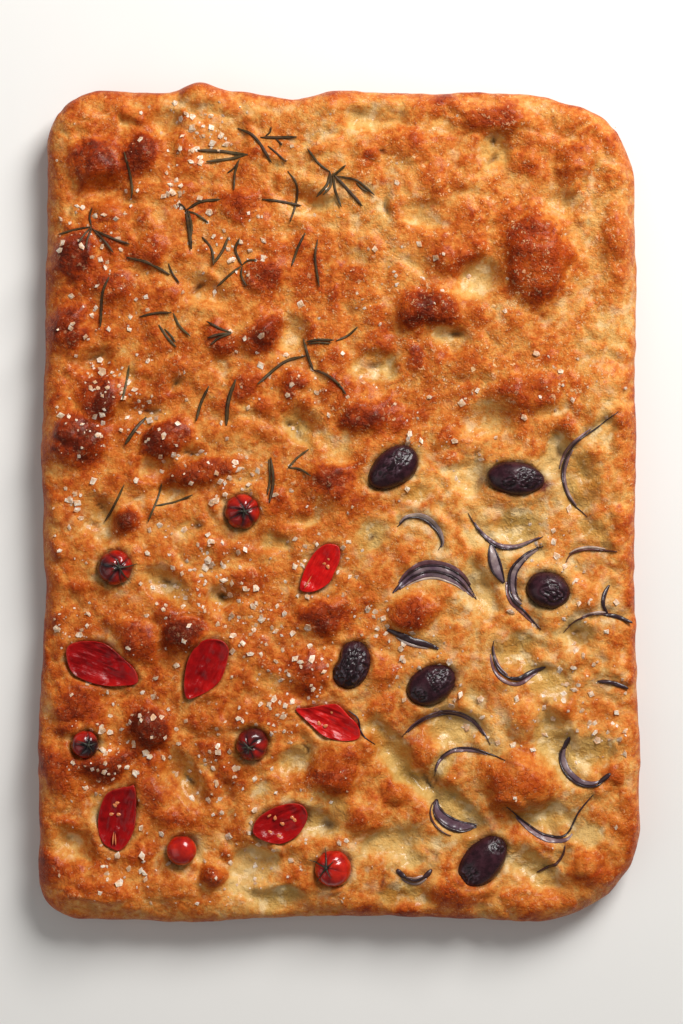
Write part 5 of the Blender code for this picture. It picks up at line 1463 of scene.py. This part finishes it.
def seed_finish():
    made = Finish("tomato_seed")
    colour = made.mix(made.noise(1.0, 2), (0.55, 0.12, 0.03), (0.72, 0.26, 0.09))
    made.set(Base_Color=colour, Roughness=0.3, Coat_Weight=0.4, Coat_Roughness=0.1)
    made.bump(made.noise(0.4, 2), 0.05, 0.5)
    return made.material


def build_seeds(halves, finish):
    """Flat, tear-shaped seeds lying in the flesh of the halves."""
    unit_points, unit_faces = ball(4)
    rng = np.random.default_rng(5)
    points, faces = [], []
    for half, (_, places) in zip(halves, HALVES):
        for offset in places:
            turn = rng.uniform(0, 2 * math.pi)
            spin = np.array(((math.cos(turn), math.sin(turn)), (-math.sin(turn), math.cos(turn))))
            shape = unit_points * (1.15, 0.8 * 1.0, 0.38)
            shape[:, 1] *= 1 - 0.35 * unit_points[:, 0]
            shape[:, :2] = shape[:, :2] @ spin
            local = np.array([offset]) @ half.axes.T
            height = cut_height(half, local, np.linalg.norm(offset) / half.edge(np.arctan2(*offset[::-1])), 0)
            middle = np.append(half.middle + offset + SHIFT, height[0] + 0.35)
            start = sum(len(part) for part in points)
            points.append(shape + middle)
            faces += [[start + i for i in face] for face in unit_faces]
    return make_object("tomato_seeds", np.vstack(points) * MM, faces, finish)


def build_fibres(halves, finish):
    """The pale ends of fibres that stand out of two of the cut faces."""
    strips = Strips()
    for number, points in FIBRES:
        route = smooth_route(points, 0.7)
        heights = np.full(len(route), halves[number - 1].top + 0.15)
        widths = 0.7 * np.sin(math.pi * np.linspace(0.1, 0.95, len(route)))
        strips.add(route, heights, widths, 0.3, np.zeros(len(route)), sink=0.8)
    strips.make("tomato_fibres", finish)


# ---------------------------------------------------------------- red onion

def onion_finish():
    """Roasted onion: near-black purple skin edges, and grey-lilac flesh that dried translucent."""
    made = Finish("onion")
    tone, red = made.attribute("tone"), made.attribute("red")
    streak = made.noise(1.6, 4)
    tone = made.calculate("ADD", tone, made.calculate("MULTIPLY_ADD", streak, 0.36, -0.18))
    stops = (
        (0.0, (0.020, 0.008, 0.012)), (0.2, (0.048, 0.018, 0.034)), (0.45, (0.105, 0.058, 0.086)),
        (0.7, (0.20, 0.135, 0.145)), (1.0, (0.42, 0.32, 0.25)),
    )
    edge = made.remap(made.calculate("ABSOLUTE", made.attribute("across")), 0.6, 0.95)
    tone = made.calculate("ADD", tone, made.calculate("MULTIPLY", edge, -0.28))
    colour = made.ramp(tone, stops)
    redder = made.ramp(tone, ((0.0, (0.07, 0.012, 0.008)), (0.5, (0.20, 0.055, 0.035)), (1.0, (0.52, 0.32, 0.24))))
    colour = made.mix(red, colour, redder)
    made.bump(made.calculate("ADD", streak, made.calculate("MULTIPLY", made.noise(0.6, 2), 0.4)), 0.25, 0.6)
    made.set(Base_Color=colour, Roughness=made.calculate("MULTIPLY_ADD", streak, 0.25, 0.24))
    made.set(Coat_Weight=0.3, Coat_Roughness=0.15, Coat_IOR=1.4)
    return made.material


def build_onion(crust, name, onion, layers, seed, finish):
    """A slice's layers, each a thin arched strip beside the last, meeting at the slice's ends."""
    strips, reds = Strips(), []
    for number, (offset, width, tone, red, start, end) in enumerate(layers):
        covered = (onion.share >= start - 1e-6) & (onion.share <= end + 1e-6)
        route, left = onion.route[covered], onion.left[covered]
        share = np.linspace(0, 1, len(route))
        spread = np.sin(math.pi * onion.share[covered]) ** 0.7
        wobble = 0.22 * soft_noise(route[:, 0], route[:, 1], 7, seed + number)
        route = route + left * (offset * spread + wobble)[:, None]
        fullness = np.sin(math.pi * np.clip(share, 0.02, 0.98)) ** 0.5
        widths = width * (0.16 + 0.84 * fullness) * (1 + 0.16 * soft_noise(*route.T, 5, seed + 40 + number))
        dark = tone < 0.25
        heights = (0.30 if dark else 0.12) + 0.15 * soft_noise(*route.T, 9, seed + 50)
        thickness = 0.75 if dark else 0.45
        tones = np.clip(tone + 0.16 * soft_noise(*route.T, 6, seed + 60 + number), 0, 1)
        strips.add(route, heights, widths, thickness, tones, 0.0 if dark else 0.35, 1.4, crust.height)
        reds.append(np.full(len(route) * Strips.SECTION, red))
    obj = strips.make(f"{name}_looks", finish, "onion", [name])
    set_attribute(obj, "red", np.concatenate(reds))


# ---------------------------------------------------------------- rosemary

def needle_finish():
    """Baked rosemary: brown-black, greyer green along the rib and where it stayed moist."""
    made = Finish("rosemary")
    tone, across = made.attribute("tone"), made.attribute("across")
    rib = made.remap(made.calculate("ABSOLUTE", across), 0.45, 0.05)
    patchy = made.remap(made.noise(2.2, 3), 0.3, 0.7)
    brown = made.mix(patchy, (0.013, 0.007, 0.003), (0.070, 0.026, 0.008))
    green = made.mix(patchy, (0.034, 0.026, 0.009), (0.130, 0.084, 0.028))
    colour = made.mix(tone, brown, green)
    colour = made.mix(made.calculate("MULTIPLY", rib, 0.30), colour, (0.13, 0.085, 0.038))
    made.bump(made.noise(0.5, 2), 0.12, 0.6)
    made.set(Base_Color=colour, Roughness=0.5, Specular_IOR_Level=0.2, Coat_Weight=0.06, Coat_Roughness=0.25)
    return made.material


def build_rosemary(crust):
    """All the needles, each a slim blade with rolled edges that follows the crust, tips free."""
    strips = Strips()
    rng = np.random.default_rng(3)
    for points, width, green in NEEDLES:
        route = smooth_route(points, 0.9)
        share = np.linspace(0, 1, len(route))
        ground = eased(np.maximum(crust.height(*route.T), eased(crust.height(*route.T), 5)), 2)
        tip = rng.uniform(0.2, 1.4)
        heights = ground + 0.15 + tip * share**3
        widths = 0.80 * width * np.minimum(1, 0.35 + 3.2 * share) * np.clip((1 - share) * 5 + 0.12, 0.12, 1) ** 0.6
        tones = np.clip(green + 0.35 * soft_noise(*route.T, 5, 71), 0, 1)
        strips.add(route, heights, widths, 0.42, tones, groove=0.8, sink=0.5)
    return strips.make("rosemary", needle_finish())


# ---------------------------------------------------------------- salt

def salt_finish():
    made = Finish("sea_salt")
    clear = made.calculate("MULTIPLY", made.remap(made.noise(3.0, 1), 0.35, 0.65), made.noise(0.8, 2))
    colour = made.mix(made.remap(clear, 0.1, 0.5), (0.70, 0.40, 0.23), (0.96, 0.77, 0.59))
    made.set(Base_Color=colour, Roughness=0.22, IOR=1.4, Specular_IOR_Level=0.28)
    made.set(Subsurface_Weight=0.4, Subsurface_Radius=(1.0, 0.75, 0.5), Subsurface_Scale=0.0009)
    made.bump(made.noise(0.35, 2), 0.08, 0.5)
    return made.material


CUBE_POINTS = np.array([(x, y, z) for x in (-1, 1) for y in (-1, 1) for z in (-1, 1)], float)
CUBE_FACES = ((0, 1, 3, 2), (4, 6, 7, 5), (0, 4, 5, 1), (2, 3, 7, 6), (0, 2, 6, 4), (1, 5, 7, 3))


def turned(points, rng, lean):
    """Points turned freely about Z and tipped by up to this much, in radians."""
    spin = Matrix.Rotation(rng.uniform(0, 2 * math.pi), 3, "Z")
    tip = Matrix.Rotation(rng.uniform(-lean, lean), 3, "X") @ Matrix.Rotation(rng.uniform(-lean, lean), 3, "Y")
    return points @ np.array(tip @ spin).T


def grain(rng, size):
    """A small crystal: a cube with uneven sides and broken corners."""
    sides = size / 2 * rng.uniform((0.8, 0.5, 0.4), (1.3, 1.0, 0.8))
    points = CUBE_POINTS * sides * rng.uniform(0.65, 1.1, (8, 1))
    return turned(points, rng, 0.5), CUBE_FACES


def flake(rng, size):
    """A flat crystal that grew in steps: uneven plates, each smaller than the one below it."""
    sides = 4 if rng.uniform() < 0.6 else 5
    points, faces = [], []
    turns = 2 * math.pi * np.arange(sides) / sides + rng.uniform(-0.28, 0.28, sides)
    reach = rng.uniform(0.7, 1.0, sides) * size / 2
    squash = rng.uniform(0.55, 0.95)
    low, centre = -0.12 * size, np.zeros(2)
    for share in (1.0, rng.uniform(0.6, 0.85), rng.uniform(0.3, 0.5)):
        high = low + rng.uniform(0.05, 0.10) * size
        flat = np.column_stack((np.cos(turns), np.sin(turns) * squash)) * (reach * share)[:, None] + centre
        first = sum(len(part) for part in points)
        points.append(np.column_stack((flat, np.full(sides, low))))
        points.append(np.column_stack((flat * 0.94, high + rng.uniform(-0.03, 0.03, sides) * size)))
        faces += [(first + i, first + (i + 1) % sides, first + sides + (i + 1) % sides, first + sides + i)
                  for i in range(sides)]
        faces += [tuple(range(first + sides - 1, first - 1, -1)), tuple(range(first + sides, first + 2 * sides))]
        low = high - 0.05 * size
        centre = centre + rng.uniform(-0.07, 0.07, 2) * size
    return turned(np.vstack(points), rng, 0.2), faces


def salt_places(crust, rng):
    """Where crystals lie, and each one's size: on the crust, and off the toppings."""
    rows = []
    for x, y, reach, count in SALT_FALLS:
        count = round(SALT_SHARE * count)
        spots = rng.normal((x, y), reach * 0.55, (count, 2))
        rows.append(np.column_stack((spots, 1.1 + 4.2 * rng.uniform(0, 1, count) ** 1.8)))
    spread = rng.uniform((-141, -197), (141, 195), (SCATTERED_SALT * 2, 2))
    keep = rng.uniform(0, 1, len(spread)) < np.interp(spread[:, 0], (-140, 0, 50, 140), (0.75, 0.6, 0.16, 0.12))
    spread = spread[keep][:SCATTERED_SALT]
    rows.append(np.column_stack((spread, 0.5 + 3.4 * rng.uniform(0, 1, len(spread)) ** 3)))
    rows = np.vstack(rows)
    clear = np.ones(len(rows), bool)
    for topping in crust.toppings + crust.slices:
        clear &= topping.distance(rows[:, 0], rows[:, 1]) > 0.6
    inside = (np.abs(rows[:, 0]) < 138) & (rows[:, 1] > -196) & (rows[:, 1] < 193)
    return rows[clear & inside]


def build_salt(crust):
    rng = np.random.default_rng(8)
    rows = salt_places(crust, rng)
    flakes = np.array(FLAKES)
    places = np.vstack((rows, flakes))
    x, y = places[:, 0], places[:, 1]
    ground = crust.height(x, y)
    slopes = np.column_stack((crust.height(x + 1, y) - crust.height(x - 1, y),
                              crust.height(x, y + 1) - crust.height(x, y - 1))) / 2
    points, faces, count = [], [], 0
    for i, (place, height, slope) in enumerate(zip(places, ground, slopes)):
        size = place[2]
        shape, sides = grain(rng, size) if i < len(rows) and size < 1.0 else flake(rng, size)
        shape[:, 2] += shape[:, :2] @ slope + height + 0.13 * size
        shape[:, :2] += place[:2] + SHIFT
        points.append(shape)
        faces += [[count + corner for corner in side] for side in sides]
        count += len(shape)
    return make_object("sea_salt", np.vstack(points) * MM, faces, salt_finish(), smooth=False)


# ---------------------------------------------------------------- the stage

FLOOR_COLOUR = (0.80, 0.79, 0.77)
PICTURE_HEIGHT = 493.6      # how much of the top's plane the picture takes in, in millimetres
PICTURE_SHIFT = (0.7, -5.3)     # the picture's middle, in the plan
CAMERA_HEIGHT = 1200.0


def floor_finish():
    made = Finish("floor")
    made.set(Base_Color=made.mix(made.noise(60, 3), FLOOR_COLOUR, tuple(0.97 * c for c in FLOOR_COLOUR)), Roughness=0.75)
    return made.material


def add_floor():
    mesh = bpy.data.meshes.new("floor")
    reach, level = 12.0, -0.0001    # just under the slab, so that the two faces don't flicker
    corners = [(x * reach, y * reach, level) for x, y in ((-1, -1), (1, -1), (1, 1), (-1, 1))]
    mesh.from_pydata(corners, [], [(0, 1, 2, 3)])
    mesh.materials.append(floor_finish())
    obj = bpy.data.objects.new("floor", mesh)
    bpy.context.scene.collection.objects.link(obj)


def add_light(name, place, size, power, colour=(1, 1, 1)):
    light = bpy.data.lights.new(name, "AREA")
    light.shape = "RECTANGLE"
    light.size, light.size_y = size
    light.energy = power
    light.color = colour
    obj = bpy.data.objects.new(name, light)
    obj.location = place
    obj.rotation_euler = (Vector((0, 0, 0.02)) - Vector(place)).to_track_quat("-Z", "Y").to_euler()
    bpy.context.scene.collection.objects.link(obj)


def light_scene():
    add_light("window", (0.64, 0.98, 0.95), (0.7, 0.7), 33, (1.0, 0.985, 0.96))
    add_light("fill", (-1.1, -0.5, 1.2), (1.4, 1.4), 4)
    world = bpy.data.worlds.new("studio")
    world.use_nodes = True
    world.node_tree.nodes["Background"].inputs["Color"].default_value = (1.0, 0.975, 0.94, 1)
    world.node_tree.nodes["Background"].inputs["Strength"].default_value = 0.20
    bpy.context.scene.world = world
    bpy.context.scene.view_settings.view_transform = "Standard"


def add_camera():
    """Looks straight down, framing the slab as it was framed from above."""
    camera = bpy.data.cameras.new("camera")
    camera.sensor_width = 36
    camera.lens = camera.sensor_width * CAMERA_HEIGHT / PICTURE_HEIGHT
    camera.clip_end = 20
    obj = bpy.data.objects.new("camera", camera)
    middle = SHIFT + PICTURE_SHIFT
    obj.location = (middle[0] * MM, middle[1] * MM, (CAMERA_HEIGHT + LEVEL_HEIGHT) * MM)
    bpy.context.scene.collection.objects.link(obj)
    bpy.context.scene.camera = obj


# ---------------------------------------------------------------- putting it together

def names(kind, count):
    return [f"{kind}_{number:02d}" for number in range(1, count + 1)]


HALF_BRIGHTNESS = (0.95, 0.15, 0.28, 0.75, 0.10, 0.20)


def build_toppings(crust, olives, tomatoes, halves):
    finish = olive_finish()
    for number, (olive, looks) in enumerate(zip(olives, OLIVES)):
        build_olive(olive, looks, 100 + 50 * number, finish)
    finish = tomato_finish()
    crowns = []
    for number, (tomato, looks) in enumerate(zip(tomatoes, TOMATOES)):
        tomato.half_height = 0.86 * tomato.half_width
        crowns.append(build_tomato(tomato, looks, 500 + 20 * number, finish))
    build_sepals(crust, tomatoes, crowns)
    finish = flesh_finish()
    for number, (half, brightness) in enumerate(zip(halves, HALF_BRIGHTNESS)):
        build_half(half, brightness, 700 + 20 * number, finish)
    finish = seed_finish()
    build_seeds(halves, finish)
    build_fibres(halves, finish)
    finish = onion_finish()
    build_skin_hair(crust, finish)
    for number, (name, onion) in enumerate(zip(names("onion", len(ONIONS)), crust.slices)):
        build_onion(crust, name, onion, LAYERS[number], 900 + 10 * number, finish)


def build_food():
    olives = [Footprint(name, 3.2) for name in names("olive", len(OLIVES))]
    for olive, looks in zip(olives, OLIVES):
        olive.notch = looks[1:3]
    tomatoes = [Footprint(name, 3.2) for name in names("tomato", len(TOMATOES))]
    halves = [HalfPrint(name, row[0]) for name, row in zip(names("tomato_half", len(HALVES)), HALVES)]
    slices = [Slice(*row) for row in ONIONS]
    crust = Crust(olives + tomatoes + halves, slices)
    build_crust(crust)
    build_toppings(crust, olives, tomatoes, halves)
    build_rosemary(crust)
    build_salt(crust)


build_food()
add_floor()
light_scene()
add_camera()
